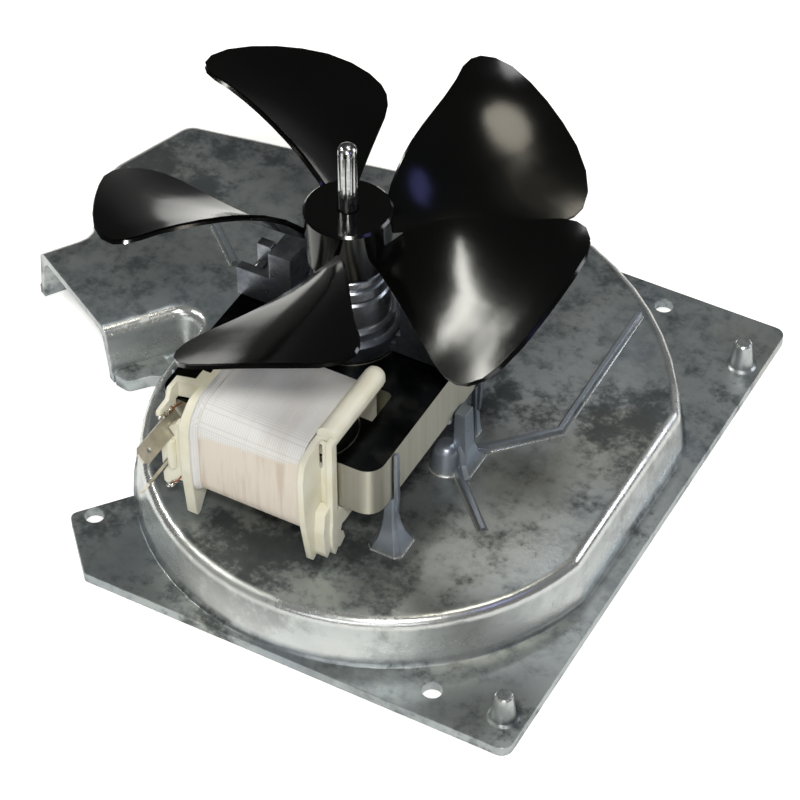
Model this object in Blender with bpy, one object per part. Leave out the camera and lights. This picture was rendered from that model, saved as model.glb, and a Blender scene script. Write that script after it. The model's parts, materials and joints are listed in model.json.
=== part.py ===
"""Cooling-fan motor of an oven: a shaded-pole motor on a die-cast plate with a blower
scroll under it, a five-blade axial fan on top and a radial wheel inside the scroll.

Lengths are in metres and +Z is up. All places are given from the motor shaft's axis,
which stands at MOTOR_AXIS; +X runs along the plate's front edge and z = 0 is the plate's
underside. MOTOR_AXIS is worked out so that the middle of the plate is at the origin.
"""
import bpy
import bmesh
from math import acos, atan2, ceil, cos, degrees, hypot, pi, radians, sin, sqrt
from mathutils import Matrix, Vector

mm = 0.001

# Fits
SEAT_GAP = 0.3 * mm          # between faces that sit on each other
RUNNING_GAP = 0.09 * mm        # round the turning shaft
AIR_GAP = 0.45 * mm          # between rotor and pole bore

# Plate round the scroll
PLATE_THICK = 3.0 * mm
PLATE_RIGHT = 84.2 * mm
PLATE_MARGIN = 1.2 * mm      # plate in front of the drum
PLATE_BACK = 102.7 * mm
PLATE_LEFT = -41.3 * mm      # where the front edge meets the cut corner
PLATE_BACK_LEFT = 26.0 * mm
PLATE_CUT = 15.0 * mm
PLATE_CORNER = 3.2 * mm
HOLE_DIAMETER = 5.5 * mm
HOLES = ((-50.2 * mm, -52.1 * mm), (58.2 * mm, -62.4 * mm), (48.9 * mm, 95.6 * mm))
PEG_TALL = 8.5 * mm
PEG_FOOT = 6.5 * mm
PEG_TIP = 4.8 * mm
PEGS = ((78.1 * mm, -61.4 * mm), (78.4 * mm, 84.2 * mm))

# Scroll
SCROLL_TOP = 18.0 * mm
WALL = 2.5 * mm
WALL_LEAN = 1.2 * mm
SHOULDER = 3.4 * mm
FOOT_BLEND = 1.0 * mm
DRUM_CENTRE = Vector((11.9 * mm, 0.0))
DRUM_RADIUS = 69.9 * mm
PLATE_FRONT = -(DRUM_RADIUS + PLATE_MARGIN)
CHORD_X = 79.6 * mm
FAR_CENTRE = Vector((-14.7 * mm, 3.7 * mm))
FAR_RADIUS = 102.9 * mm
BACK_POINT = Vector((-39.7 * mm, 99.9 * mm))
BACK_HEADING = 190.3
LEFT_POINT = Vector((-108.9 * mm, 79.4 * mm))
LEFT_HEADING = 250.7
ELBOW_POINT = Vector((-109.5 * mm, 40.0 * mm))
ELBOW_HEADING = 290.0
NECK_POINT = Vector((-105.6 * mm, 29.7 * mm))
NECK_HEADING = 236.0
MOUTH_POINT = Vector((-78.3 * mm, -2.1 * mm))
MOUTH_HEADING = 330.7
TONGUE_POINT = Vector((-74.6 * mm, -3.9 * mm))
TONGUE_HEADING = 52.0
CORNER_RADIUS = 8.5 * mm
BACK_BLEND = 55.0 * mm
NECK_BLEND = 4.0 * mm
TONGUE_BLEND = 3.0 * mm
LIP_THICK = 4.0 * mm

# Posts and ribs on the scroll
POST_INSET = 0.8 * mm        # posts, from the stack's side faces
POST_FRONT = -34.6 * mm
POST_BACK = 11.6 * mm
POST_WIDE = 3.1 * mm
POST_FOOT = 10.0 * mm
BACK_POST_WIDE = 1.9 * mm
BACK_POST_FOOT = 3.4 * mm
FIN_THICK = 1.2 * mm
FIN_WIDE = 1.3 * mm
FIN_RISE = 15.2 * mm
SIDE_POST_WIDE = 4.4 * mm
SIDE_POST_THICK = 3.2 * mm
SIDE_POST_RISE = 1.4 * mm
SIDE_BOSS_DIAMETER = 7.8 * mm
SIDE_BOSS_TALL = 8.6 * mm
RIB_WIDE = 1.8 * mm
RIB_TALL = 1.6 * mm
GUSSET_THICK = 1.5 * mm
GUSSET_RISE = 8.5 * mm
GUSSET_LONG = 7.0 * mm

# Laminated stack
STACK_BOTTOM = 36.0 * mm
STACK_THICK = 15.5 * mm
STACK_HALF = 32.0 * mm
POST_X = STACK_HALF - POST_INSET
STACK_FRONT = -44.2 * mm
STACK_BACK = 31.0 * mm
STACK_NOSE = 5.0 * mm
STACK_SHOULDER = 8.0 * mm
WINDOW_BACK = -16.2 * mm
LEG_WIDE = 10.2 * mm
WINDOW_HALF = STACK_HALF - LEG_WIDE
POLE_BORE = 28.6 * mm
CORE_BACK = -27.4 * mm
CORE_ROUND = 12.0 * mm
CORE_INSET = 0.8 * mm
CORE_HALF = WINDOW_HALF - CORE_INSET

# Coil
BOBBIN_WALL = 1.2 * mm
BOBBIN_ROOM = 0.6 * mm
FLANGE_WIDE = 5.7 * mm
BOBBIN_OUTER = WINDOW_HALF - BOBBIN_ROOM
BOBBIN_INNER = BOBBIN_OUTER - FLANGE_WIDE
BOBBIN_PLATE = 1.8 * mm
BOBBIN_TOP = 62.5 * mm
BAR_TALL = 4.5 * mm
LEFT_SET_OUT = 1.5 * mm       # the coil reaches further to the left
LEFT_THICK = 3.0 * mm
BOBBIN_LEFT = BOBBIN_INNER + LEFT_SET_OUT
LEFT_FLANGE_TOP = 57.6 * mm
BLOCK_TOP = 57.0 * mm
COIL_FRONT = -53.0 * mm
COIL_REAR = -18.9 * mm
COIL_LOW = 28.0 * mm
COIL_HIGH = 59.4 * mm
COIL_ROUND = 7.5 * mm
TAPE_THICK = 0.7 * mm
TAB_WIDE = 5.2 * mm
TAB_THICK = 0.8 * mm
TAB_HOLE = 1.7 * mm
SHADE_WIRE = 2.0 * mm
SHADE_BAR = 1.6 * mm
SHADE_Y = 8.2 * mm
SHADE_REACH = 5.2 * mm

# Shaft and rotor
SHAFT_DIAMETER = 4.9 * mm
SHAFT_LOW = 0.8 * mm
SHAFT_TOP = 114.0 * mm
FLUTE_TIP = 2.0 * mm          # plain end above the flutes
FLUTE_LONG = 13.0 * mm
FLUTE_HIGH = SHAFT_TOP - FLUTE_TIP
FLUTE_LOW = FLUTE_HIGH - FLUTE_LONG
FLUTE_COUNT = 8
FLUTE_DEEP = 0.35 * mm
CAGE_RING = 2.4 * mm
CAGE_DIAMETER = 23.0 * mm

# Upper and lower bearing bridges
BRIDGE_BACK = 10.8 * mm
BRIDGE_FRONT = -2.5 * mm
FOOT_PROUD = 0.8 * mm         # feet past the stack's sides
FOOT_WIDE = 10.8 * mm
FOOT_OUTER = STACK_HALF + FOOT_PROUD
FOOT_INNER = FOOT_OUTER - FOOT_WIDE
FOOT_TALL = 9.3 * mm
FOOT_FLOOR = 3.0 * mm
FOOT_WALL = 2.7 * mm
HORN_INNER = 15.0 * mm
HORN_TOP = 70.0 * mm
HORN_HOLLOW = 33.0 * mm
DOME_DIAMETER = 27.6 * mm
DOME_TALL = 5.8 * mm
NECK_DIAMETER = 24.4 * mm
NECK_TALL = 3.0 * mm
CAN_DIAMETER = 21.8 * mm
CAN_TALL = 8.8 * mm
CAP_DIAMETER = 20.2 * mm
CAP_TALL = 3.2 * mm
CAP_RING = 19.0 * mm
BUSH_DIAMETER = 10.0 * mm
BUSH_TALL = 9.0 * mm
WASHER_DIAMETER = 9.0 * mm
WASHER_THICK = 0.9 * mm
SCREW_INSET = 3.8 * mm
SCREW_X = STACK_HALF - SCREW_INSET
SCREW_Y = 4.5 * mm
SCREW_SHANK = 3.6 * mm
SCREW_HEAD = 6.2 * mm
SCREW_HEAD_TALL = 2.6 * mm
LOWER_THICK = 4.0 * mm
LOWER_HALF = 5.2 * mm         # half the width of the lower yoke's arms
LOWER_END = 4.0 * mm          # arms past their screws
LOWER_CUP = 20.0 * mm
LOWER_CUP_TALL = 14.5 * mm

# Axial fan
BLADE_COUNT = 5
BLADE_THICK = 1.5 * mm
BLADE_FIRST = 116.0
BLADE_RISE = 1.32 * mm        # blade's root above the hub's lower edge
HUB_DIAMETER = 23.2 * mm
HUB_FOOT_DIAMETER = 22.0 * mm
HUB_BOTTOM = 78.0 * mm
HUB_TALL = 15.5 * mm
HUB_WALL = 2.2 * mm
HUB_CORE = 10.5 * mm
FAN_DIAMETER = 127.9 * mm
BLADE_UNIT = FAN_DIAMETER / 127.9    # the blade's plan and pitch are drawn on a fan 127.9 across

# Radial wheel in the scroll
WHEEL_CLEAR = 5.3 * mm        # to the drum's nearest wall
WHEEL_DIAMETER = 2 * (DRUM_RADIUS - DRUM_CENTRE.x - WALL - FOOT_BLEND - WALL_LEAN - WHEEL_CLEAR)
WHEEL_BOTTOM = 2.6 * mm
WHEEL_TOP = 13.9 * mm
WHEEL_DISC = 1.2 * mm
WHEEL_HUB = 16.0 * mm
WHEEL_VANES = 16
WHEEL_EYE = 62.0 * mm
VANE_THICK = 1.2 * mm
SHAFT_HOLE = 15.0 * mm
NUT_ACROSS = 8.0 * mm
NUT_TALL = 2.6 * mm

STACK_TOP = STACK_BOTTOM + STACK_THICK
CORE_MID_Y = (STACK_FRONT + CORE_BACK) / 2
CORE_MID_Z = STACK_BOTTOM + STACK_THICK / 2


# plain helpers

def clear_scene():
    for item in list(bpy.data.objects):
        bpy.data.objects.remove(item, do_unlink=True)


def material(name, colour, roughness, metallic=0.0):
    """A plain surface; colour is an sRGB hex value."""
    made = bpy.data.materials.new(name)
    made.use_nodes = True
    shader = made.node_tree.nodes["Principled BSDF"]
    linear = []
    for k in (1, 3, 5):
        c = int(colour[k:k + 2], 16) / 255
        linear.append(c / 12.92 if c <= 0.04045 else ((c + 0.055) / 1.055) ** 2.4)
    shader.inputs["Base Color"].default_value = (*linear, 1.0)
    shader.inputs["Roughness"].default_value = roughness
    shader.inputs["Metallic"].default_value = metallic
    return made


def is_flat(face):
    a, b, c, d = (corner.co for corner in face.verts)
    across = (b - a).cross(c - a)
    return across.length < 1e-12 or abs(across.normalized().dot(d - a)) < 0.002 * mm


def solid(name, points, faces, surface=None, parent=None, smooth=None, place=(0, 0, 0)):
    """An object from points and faces, with every face turned outwards."""
    mesh = bpy.data.meshes.new(name)
    bm = bmesh.new()
    made = [bm.verts.new(p) for p in points]
    for face in faces:
        bm.faces.new([made[k] for k in face])
    twisted = [face for face in bm.faces if len(face.verts) == 4 and not is_flat(face)]
    bmesh.ops.triangulate(bm, faces=twisted)
    bmesh.ops.recalc_face_normals(bm, faces=bm.faces)
    bm.to_mesh(mesh)
    bm.free()
    item = bpy.data.objects.new(name, mesh)
    bpy.context.collection.objects.link(item)
    item.location = place
    if parent is not None:
        item.parent = parent
    if surface is not None:
        mesh.materials.append(surface)
    if smooth is not None:
        mesh.shade_smooth()
        mesh.set_sharp_from_angle(angle=radians(smooth))
    return item


def loft(rings):
    """Points and faces through rings of equal length, closed at both ends."""
    n = len(rings[0])
    points = [p for ring in rings for p in ring]
    faces = [list(range(n))[::-1], [n * (len(rings) - 1) + k for k in range(n)]]
    for j in range(len(rings) - 1):
        for k in range(n):
            m = (k + 1) % n
            faces.append([n * j + k, n * j + m, n * j + n + m, n * j + n + k])
    return points, faces


def prism(outline, low, high):
    """A flat outline raised from low to high."""
    return loft([[Vector((p[0], p[1], z)) for p in outline] for z in (low, high)])


def prism_x(outline, x0, x1):
    """An outline in the YZ plane pushed from x0 to x1."""
    return loft([[Vector((x, p[0], p[1])) for p in outline] for x in (x0, x1)])


def prism_y(outline, y0, y1):
    """An outline in the XZ plane pushed from y0 to y1."""
    return loft([[Vector((p[0], y, p[1])) for p in outline] for y in (y0, y1)])


def box(x0, x1, y0, y1, z0, z1):
    return prism(((x0, y0), (x1, y0), (x1, y1), (x0, y1)), z0, z1)


def circle(centre, radius, steps, start=0.0):
    return [Vector((centre[0] + radius * cos(start + 2 * pi * k / steps),
                    centre[1] + radius * sin(start + 2 * pi * k / steps))) for k in range(steps)]


def turned(profile, steps, centre=(0.0, 0.0)):
    """A full turned solid; profile lists (radius, z) from the bottom up."""
    rings = []
    for r, z in profile:
        rings.append([Vector((p.x, p.y, z)) for p in circle(centre, r, steps)])
    return loft(rings)


def turned_ring(profile, steps, centre=(0.0, 0.0)):
    """A turned ring; profile is a closed loop of (radius, z)."""
    n = steps
    m = len(profile)
    points = []
    for r, z in profile:
        points += [Vector((p.x, p.y, z)) for p in circle(centre, r, steps)]
    faces = []
    for j in range(m):
        for k in range(n):
            a, b = n * j, n * ((j + 1) % m)
            faces.append([a + k, a + (k + 1) % n, b + (k + 1) % n, b + k])
    return points, faces


def rounded(corners, step=18.0):
    """A polygon whose corners (x, y, radius) are rounded, sampled as points."""
    outline = []
    n = len(corners)
    for k in range(n):
        x, y, r = corners[k]
        here = Vector((x, y))
        if r <= 0:
            outline.append(here)
            continue
        back = (Vector(corners[k - 1][:2]) - here).normalized()
        ahead = (Vector(corners[(k + 1) % n][:2]) - here).normalized()
        half = acos(max(-1.0, min(1.0, back.dot(ahead)))) / 2
        middle = here + (back + ahead).normalized() * (r / sin(half))
        first = here + back * (r / (sin(half) / cos(half))) - middle
        last = here + ahead * (r / (sin(half) / cos(half))) - middle
        sweep = atan2(first.x * last.y - first.y * last.x, first.dot(last))
        count = max(2, ceil(abs(degrees(sweep)) / step))
        for j in range(count + 1):
            t = sweep * j / count
            outline.append(middle + Vector((first.x * cos(t) - first.y * sin(t),
                                            first.x * sin(t) + first.y * cos(t))))
    return outline


def mirrored(outline):
    """The outline on the other side of the motor's middle plane."""
    return [Vector((-p[0], p[1])) for p in reversed(outline)]


def stroke(path, width):
    """Outline of a bar of one width along a path of two or more points."""
    left, right = [], []
    for k, here in enumerate(path):
        before = (here - path[k - 1]).normalized() if k else None
        after = (path[k + 1] - here).normalized() if k + 1 < len(path) else None
        run = ((before or after) + (after or before)).normalized()
        side = Vector((-run.y, run.x))
        base = before or after
        reach = width / 2 / side.dot(Vector((-base.y, base.x)))
        left.append(here + side * reach)
        right.append(here - side * reach)
    return right + left[::-1]


def combine(target, shape, operation, name):
    """Join or cut a shape given as points and faces; the shape stays as a hidden guide."""
    other = solid(name, *shape, parent=target.parent, smooth=34)
    other.hide_render = True
    other.display_type = "WIRE"
    step = target.modifiers.new(name, "BOOLEAN")
    step.object = other
    step.operation = operation
    step.solver = "EXACT"
    return other


def join(target, shape, name):
    return combine(target, shape, "UNION", name)


def cut(target, shape, name):
    return combine(target, shape, "DIFFERENCE", name)


def smooth_shown(item, angle):
    """Shade a piece smooth where its faces meet at less than the angle."""
    item.data.shade_smooth()
    item.data.set_sharp_from_angle(angle=radians(angle))


# scroll outline

def unit(angle):
    return Vector((cos(angle), sin(angle)))


def shifted(run, inward):
    """A straight run (point, heading) or an arc (centre, radius), moved inwards."""
    if run[0] == "arc":
        return "arc", run[1], run[2] - inward
    normal = unit(run[2] + pi / 2)
    return "line", run[1] + normal * inward, run[2]


def meeting(a, b, near):
    """The crossing of two runs that lies nearest to a point."""
    if a[0] == "arc" and b[0] == "line":
        return meeting(b, a, near)
    point, way = a[1], unit(a[2])
    if b[0] == "line":
        other = unit(b[2])
        across = way.x * other.y - way.y * other.x
        gap = b[1] - point
        return point + way * ((gap.x * other.y - gap.y * other.x) / across)
    foot = point + way * (b[1] - point).dot(way)
    reach = sqrt(max(0.0, b[2] ** 2 - (foot - b[1]).length_squared))
    return min((foot + way * reach, foot - way * reach), key=lambda p: (p - near).length)


def outward(run, centre, bend):
    """Direction of the outline's outer normal where a corner's arc leaves a run."""
    if run[0] == "line":
        return run[2] - pi / 2
    side = centre - run[1]
    return atan2(side.y, side.x)


def scroll_arcs():
    """Every arc of the scroll's foot, anticlockwise: (centre, radius, from, to).

    A negative radius is a hollow corner. Straight runs simply join the arcs.
    """
    mouth_out = unit(radians(MOUTH_HEADING) - pi / 2)
    runs = [("arc", DRUM_CENTRE, DRUM_RADIUS),
            ("line", Vector((CHORD_X, 0.0)), pi / 2),
            ("arc", FAR_CENTRE, FAR_RADIUS),
            ("line", BACK_POINT, radians(BACK_HEADING)),
            ("line", LEFT_POINT, radians(LEFT_HEADING)),
            ("line", ELBOW_POINT, radians(ELBOW_HEADING)),
            ("line", NECK_POINT, radians(NECK_HEADING)),
            ("line", MOUTH_POINT + mouth_out * 2 * CORNER_RADIUS, radians(MOUTH_HEADING)),
            ("line", TONGUE_POINT, radians(TONGUE_HEADING))]
    bends = [CORNER_RADIUS, CORNER_RADIUS, BACK_BLEND, CORNER_RADIUS, CORNER_RADIUS,
             -NECK_BLEND, CORNER_RADIUS, CORNER_RADIUS, -TONGUE_BLEND]
    near = [Vector((CHORD_X, -DRUM_RADIUS / 3)), Vector((CHORD_X, DRUM_RADIUS / 2)),
            Vector((0.0, FAR_RADIUS)), LEFT_POINT, ELBOW_POINT, NECK_POINT,
            MOUTH_POINT + mouth_out * CORNER_RADIUS, MOUTH_POINT, Vector((DRUM_CENTRE.x - DRUM_RADIUS, 0.0))]
    corners = []
    for k, bend in enumerate(bends):
        a, b = runs[k], runs[(k + 1) % len(runs)]
        centre = meeting(shifted(a, bend), shifted(b, bend), near[k])
        first, last = outward(a, centre, bend), outward(b, centre, bend)
        if bend < 0 and a[0] == "arc":
            first += pi
        if bend < 0 and b[0] == "arc":
            last = atan2(centre.y - b[1].y, centre.x - b[1].x)
        turn = (last - first + pi) % (2 * pi) - pi
        corners.append((centre, bend, first, first + turn))
    arcs = []
    for k, run in enumerate(runs):
        if run[0] == "arc":
            first = corners[k - 1][3]
            sweep = (corners[k][2] - first) % (2 * pi)
            arcs.append((run[1], run[2], first, first + sweep))
        arcs.append(corners[k])
    return arcs


def scroll_ring(arcs, inward, z):
    """The scroll's outline moved inwards, as a ring of points at one height."""
    ring = []
    for centre, radius, first, last in arcs:
        step = 6.0 if abs(radius) > 4 * CORNER_RADIUS else 20.0
        count = max(2, ceil(abs(degrees(last - first)) / step))
        for k in range(count + 1):
            if ring and k == 0 and abs(radius) > 4 * CORNER_RADIUS:
                continue
            way = unit(first + (last - first) * k / count)
            spot = centre + way * (radius - inward)
            ring.append(Vector((spot.x, spot.y, z)))
    clean = [ring[0]]
    for spot in ring[1:]:
        if (spot - clean[-1]).length > 0.02 * mm:
            clean.append(spot)
    if (clean[0] - clean[-1]).length < 0.02 * mm:
        clean.pop()
    return clean


ARCS = scroll_arcs()
FOOT = scroll_ring(ARCS, 0.0, 0.0)


def mouth_side(spot):
    """How far a point lies outside the scroll's mouth."""
    out = unit(radians(MOUTH_HEADING) - pi / 2)
    return (Vector((spot[0], spot[1])) - MOUTH_POINT).dot(out)


def mouth_crossing():
    """Outer end of the far wall at the mouth."""
    return meeting(("line", NECK_POINT, radians(NECK_HEADING)),
                   ("line", MOUTH_POINT, radians(MOUTH_HEADING)), NECK_POINT)


KEPT = [p for p in FOOT if mouth_side(p) <= 0] + [mouth_crossing()]
LEFT_END = min(p[0] for p in KEPT)
BACK_END = max([p[1] for p in KEPT] + [PLATE_BACK])
MOTOR_AXIS = Vector((-(LEFT_END + PLATE_RIGHT) / 2, -(PLATE_FRONT + BACK_END) / 2, 0.0))


# housing

def plate_outline():
    return rounded([(PLATE_RIGHT, PLATE_FRONT, PLATE_CORNER), (PLATE_RIGHT, PLATE_BACK, PLATE_CORNER),
                    (PLATE_BACK_LEFT, PLATE_BACK, 1.5 * mm),
                    (PLATE_BACK_LEFT - PLATE_CUT * 0.7, PLATE_BACK - PLATE_CUT * 0.7, 0),
                    (0.0, DRUM_RADIUS * 0.86, 0), (-DRUM_RADIUS * 0.29, -DRUM_RADIUS * 0.14, 0),
                    (PLATE_LEFT + 1.3 * mm, -DRUM_RADIUS / 2, 0),
                    (PLATE_LEFT - PLATE_CUT, PLATE_FRONT + PLATE_CUT + 1.2 * mm, 2.2 * mm),
                    (PLATE_LEFT, PLATE_FRONT, 1.5 * mm)], 22.0)


def peg(spot):
    """A tapered locating peg with a blended foot."""
    foot, tip, low = PEG_FOOT / 2, PEG_TIP / 2, PLATE_THICK
    return turned([(foot + 1.0 * mm, low - 1.0 * mm), (foot + 1.0 * mm, low), (foot + 0.2 * mm, low + 0.6 * mm),
                   (tip, low + PEG_TALL - 0.5 * mm), (tip - 0.5 * mm, low + PEG_TALL)], 16, spot)


def corner_post(x, y, head, foot):
    """A post that flares into the scroll's top and carries the stack."""
    top = STACK_BOTTOM - SEAT_GAP
    rise = top - SCROLL_TOP
    rings = []
    flare = foot - head
    for wide, part in ((foot, -0.06), (foot, 0.0), (head + flare * 0.44, 0.2), (head + flare * 0.16, 0.42),
                       (head + flare * 0.03, 0.62), (head, 1.0)):
        w, c = wide / 2, wide / 7
        ring = [(w, c - w), (w, w - c), (w - c, w), (c - w, w), (-w, w - c), (-w, c - w), (c - w, -w), (w - c, -w)]
        rings.append([Vector((x + a, y + b, SCROLL_TOP + rise * part)) for a, b in ring])
    return loft(rings)


def corner_fin(side, y):
    """The thin locating fin that runs from a post up the stack's side."""
    inner = STACK_HALF + SEAT_GAP
    low = STACK_BOTTOM - 5.0 * mm
    wide = FIN_WIDE / 2
    ring = [(POST_X - POST_WIDE * 0.2, low - 4 * mm), (inner + FIN_THICK * 0.4, low - 4 * mm),
            (inner + FIN_THICK, STACK_BOTTOM - 1 * mm), (inner + FIN_THICK * 0.8, STACK_BOTTOM + FIN_RISE),
            (inner, STACK_BOTTOM + FIN_RISE), (inner, STACK_BOTTOM - SEAT_GAP),
            (POST_X - POST_WIDE * 0.2, STACK_BOTTOM - SEAT_GAP)]
    return prism_y([(side * a, b) for a, b in ring], y - wide, y + wide)


def side_post(side):
    """The flat post beside the stack's middle, with its flared foot."""
    inner = STACK_HALF + SEAT_GAP
    thick, half = SIDE_POST_THICK, SIDE_POST_WIDE / 2
    rings = []
    for grow, z in ((3.0 * mm, SCROLL_TOP - 1 * mm), (3.0 * mm, SCROLL_TOP), (1.2 * mm, SCROLL_TOP + 2.4 * mm),
                    (0.4 * mm, SCROLL_TOP + 7 * mm), (0.0, STACK_BOTTOM + SIDE_POST_RISE)):
        ring = [(inner, -half - grow), (inner + thick + grow, -half - grow), (inner + thick + grow, half + grow),
                (inner, half + grow)]
        rings.append([Vector((side * a, b, z)) for a, b in ring])
    return loft(rings)


def side_boss(side):
    r = SIDE_BOSS_DIAMETER / 2
    top = SCROLL_TOP + SIDE_BOSS_TALL
    return turned([(r + 1.0 * mm, SCROLL_TOP - 1 * mm), (r + 1.0 * mm, SCROLL_TOP), (r + 0.3 * mm, SCROLL_TOP + 0.9 * mm),
                   (r - 0.2 * mm, top - 2.2 * mm), (r - 1.0 * mm, top - 0.7 * mm), (r - 2.3 * mm, top)], 16,
                  (side * (STACK_HALF - 1.4 * mm), -3.3 * mm))


def gusset(start, toward):
    """An upright web that falls from a post's side to the low rib that goes on from it."""
    way = (toward - start).normalized()
    side = Vector((-way.y, way.x)) * GUSSET_THICK / 2
    low = SCROLL_TOP - 0.6 * mm
    line = ((0.0, low), (0.0, SCROLL_TOP + GUSSET_RISE), (1.2 * mm, SCROLL_TOP + GUSSET_RISE * 0.94),
            (GUSSET_LONG * 0.5, SCROLL_TOP + GUSSET_RISE * 0.36), (GUSSET_LONG, SCROLL_TOP + RIB_TALL * 0.9), (GUSSET_LONG, low))
    rings = []
    for turn in (-1, 1):
        rings.append([Vector((*(start + way * s + side * turn), z)) for s, z in line])
    return loft(rings)


def rib(path):
    """A low drafted rib on the scroll's top."""
    spots = [Vector(spot) for spot in path]
    rings = []
    for wide, z in ((RIB_WIDE + 1.6 * mm, SCROLL_TOP - 0.8 * mm), (RIB_WIDE + 1.2 * mm, SCROLL_TOP),
                    (RIB_WIDE, SCROLL_TOP + 0.6 * mm), (RIB_WIDE * 0.7, SCROLL_TOP + RIB_TALL)):
        rings.append([Vector((p.x, p.y, z)) for p in stroke(spots, wide)])
    return loft(rings)


def lip_outline():
    """The thickened foot that ties the tongue's wall to the drum."""
    out = unit(radians(TONGUE_HEADING) - pi / 2)
    along = unit(radians(TONGUE_HEADING))
    start = TONGUE_POINT - out * WALL * 0.6
    return rounded([(*(start + along * 1.0 * mm), 0), (*(TONGUE_POINT + out * 1.0 * mm), 0.6 * mm),
                    (*(TONGUE_POINT + out * 5.2 * mm + along * 2.2 * mm), 2.0 * mm),
                    (*(TONGUE_POINT + out * 5.6 * mm + along * 9.0 * mm), 0),
                    (*(TONGUE_POINT + out * 9.0 * mm + along * 16.0 * mm), 0),
                    (*(TONGUE_POINT - out * 1.4 * mm + along * 15.0 * mm), 0)], 30.0)


def mouth_block():
    """What is cut away outside the scroll's mouth."""
    way = unit(radians(MOUTH_HEADING))
    out = unit(radians(MOUTH_HEADING) - pi / 2)
    near = MOUTH_POINT + way * 5.5 * mm
    far = mouth_crossing() - way * 12 * mm
    deep = 4 * CORNER_RADIUS
    return prism([near, far, far + out * deep, near + out * deep], -5 * mm, SCROLL_TOP + 5 * mm)


def housing(surface, axis):
    """Die-cast plate with the blower scroll, its outlet, posts, ribs and pegs."""
    foot = PLATE_THICK
    lean, shoulder = FOOT_BLEND + WALL_LEAN, SHOULDER
    top = SCROLL_TOP
    rings = [(0.0, 0.0), (0.0, foot), (FOOT_BLEND * 0.45, foot + FOOT_BLEND * 0.45),
             (FOOT_BLEND, foot + FOOT_BLEND * 1.4), (lean, top - shoulder), (lean + 0.08 * shoulder, top - 0.55 * shoulder),
             (lean + 0.34 * shoulder, top - 0.2 * shoulder), (lean + 0.68 * shoulder, top - 0.04 * shoulder),
             (lean + shoulder, top)]
    body = solid("housing_plate", *loft([scroll_ring(ARCS, d, z) for d, z in rings]), surface, axis)
    join(body, prism(plate_outline(), 0.0, foot), "plate_sheet")
    join(body, prism(lip_outline(), 0.0, LIP_THICK), "tongue_lip")
    for k, spot in enumerate(PEGS):
        join(body, peg(spot), f"peg_{k}")
    for k, side in enumerate((1, -1)):
        join(body, corner_post(side * POST_X, POST_FRONT, POST_WIDE, POST_FOOT), f"post_front_{k}")
        join(body, corner_fin(side, POST_FRONT), f"fin_front_{k}")
        join(body, corner_post(side * POST_X, POST_BACK, BACK_POST_WIDE, BACK_POST_FOOT), f"post_back_{k}")
        join(body, corner_fin(side, POST_BACK), f"fin_back_{k}")
        join(body, side_boss(side), f"side_boss_{k}")
        join(body, side_post(side), f"side_post_{k}")
    post = STACK_HALF + SEAT_GAP + SIDE_POST_THICK / 2
    bend, end = Vector((51.7 * mm, 22.2 * mm)), Vector((50.4 * mm, -20.1 * mm))
    rear, front = Vector((post, 3.6 * mm)), Vector((post, -3.6 * mm))
    join(body, rib([(50.6 * mm, 73.7 * mm), bend, rear]), "rib_long")
    join(body, rib([front, end]), "rib_short")
    join(body, gusset(rear - Vector((0, SIDE_POST_WIDE / 2)), bend), "gusset_rear")
    join(body, gusset(front + Vector((0, SIDE_POST_WIDE / 2)), end), "gusset_front")
    join(body, rib([(-73.1 * mm, 49.8 * mm), (-59.3 * mm, 37.8 * mm)]), "rib_outlet")
    inside = [(WALL, -2 * mm), (WALL, foot), (WALL + lean, top - WALL - 2.0 * mm), (WALL + lean + 2.0 * mm, top - WALL)]
    cut(body, loft([scroll_ring(ARCS, d, z) for d, z in inside]), "scroll_inside")
    cut(body, mouth_block(), "scroll_mouth")
    for k, spot in enumerate(HOLES):
        cut(body, prism(circle(spot, HOLE_DIAMETER / 2, 20), -2 * mm, foot + 4 * mm), f"plate_hole_{k}")
    cut(body, prism(circle((0, 0), SHAFT_HOLE / 2, 24), top - 2 * WALL, top + 3 * mm), "shaft_hole")
    for k, side in enumerate((1, -1)):
        hole = circle((side * SCREW_X, SCREW_Y), SCREW_SHANK / 2 + SEAT_GAP, 12)
        cut(body, prism(hole, SCROLL_TOP + SIDE_BOSS_TALL - 6 * mm, SCROLL_TOP + SIDE_BOSS_TALL + 30 * mm), f"screw_way_{k}")
    smooth_shown(body, 32)
    return body


# stack and coil

def arc_points(centre, radius, start, end, count):
    """Points along an arc; angles in degrees."""
    return [Vector((centre[0] + radius * cos(radians(start + (end - start) * k / count)),
                    centre[1] + radius * sin(radians(start + (end - start) * k / count)))) for k in range(count + 1)]


def core_end(grow):
    """The round end of the core bar, from front to back, grown by a gap."""
    half = (CORE_BACK - STACK_FRONT) / 2
    radius = CORE_ROUND + grow
    centre = (CORE_HALF - CORE_ROUND, CORE_MID_Y)
    swing = degrees(atan2(half, sqrt(radius ** 2 - half ** 2)))
    return arc_points(centre, radius, -swing, swing, 8)


def stack_outline():
    """The C-shaped sheet: two legs that grip the core bar, and the yoke round the bore."""
    nose = rounded([(0.0, STACK_FRONT, 0), (STACK_HALF, STACK_FRONT, STACK_NOSE),
                    (STACK_HALF, STACK_BACK, STACK_SHOULDER), (0.0, STACK_BACK, 0)], 15.0)[1:-1]
    window = rounded([(0.0, WINDOW_BACK, 0), (WINDOW_HALF, WINDOW_BACK, 1.5 * mm), (WINDOW_HALF, CORE_BACK, 0)], 30.0)[1:]
    right = window + core_end(SEAT_GAP)[::-1] + nose
    return right + mirrored(right)


def shade_span():
    """Inner and outer edge of a shading ring, measured from the middle plane."""
    r = POLE_BORE / 2
    return sqrt(r ** 2 - (SHADE_Y - SHADE_WIRE) ** 2) + 0.1 * mm, r + SHADE_REACH


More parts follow.
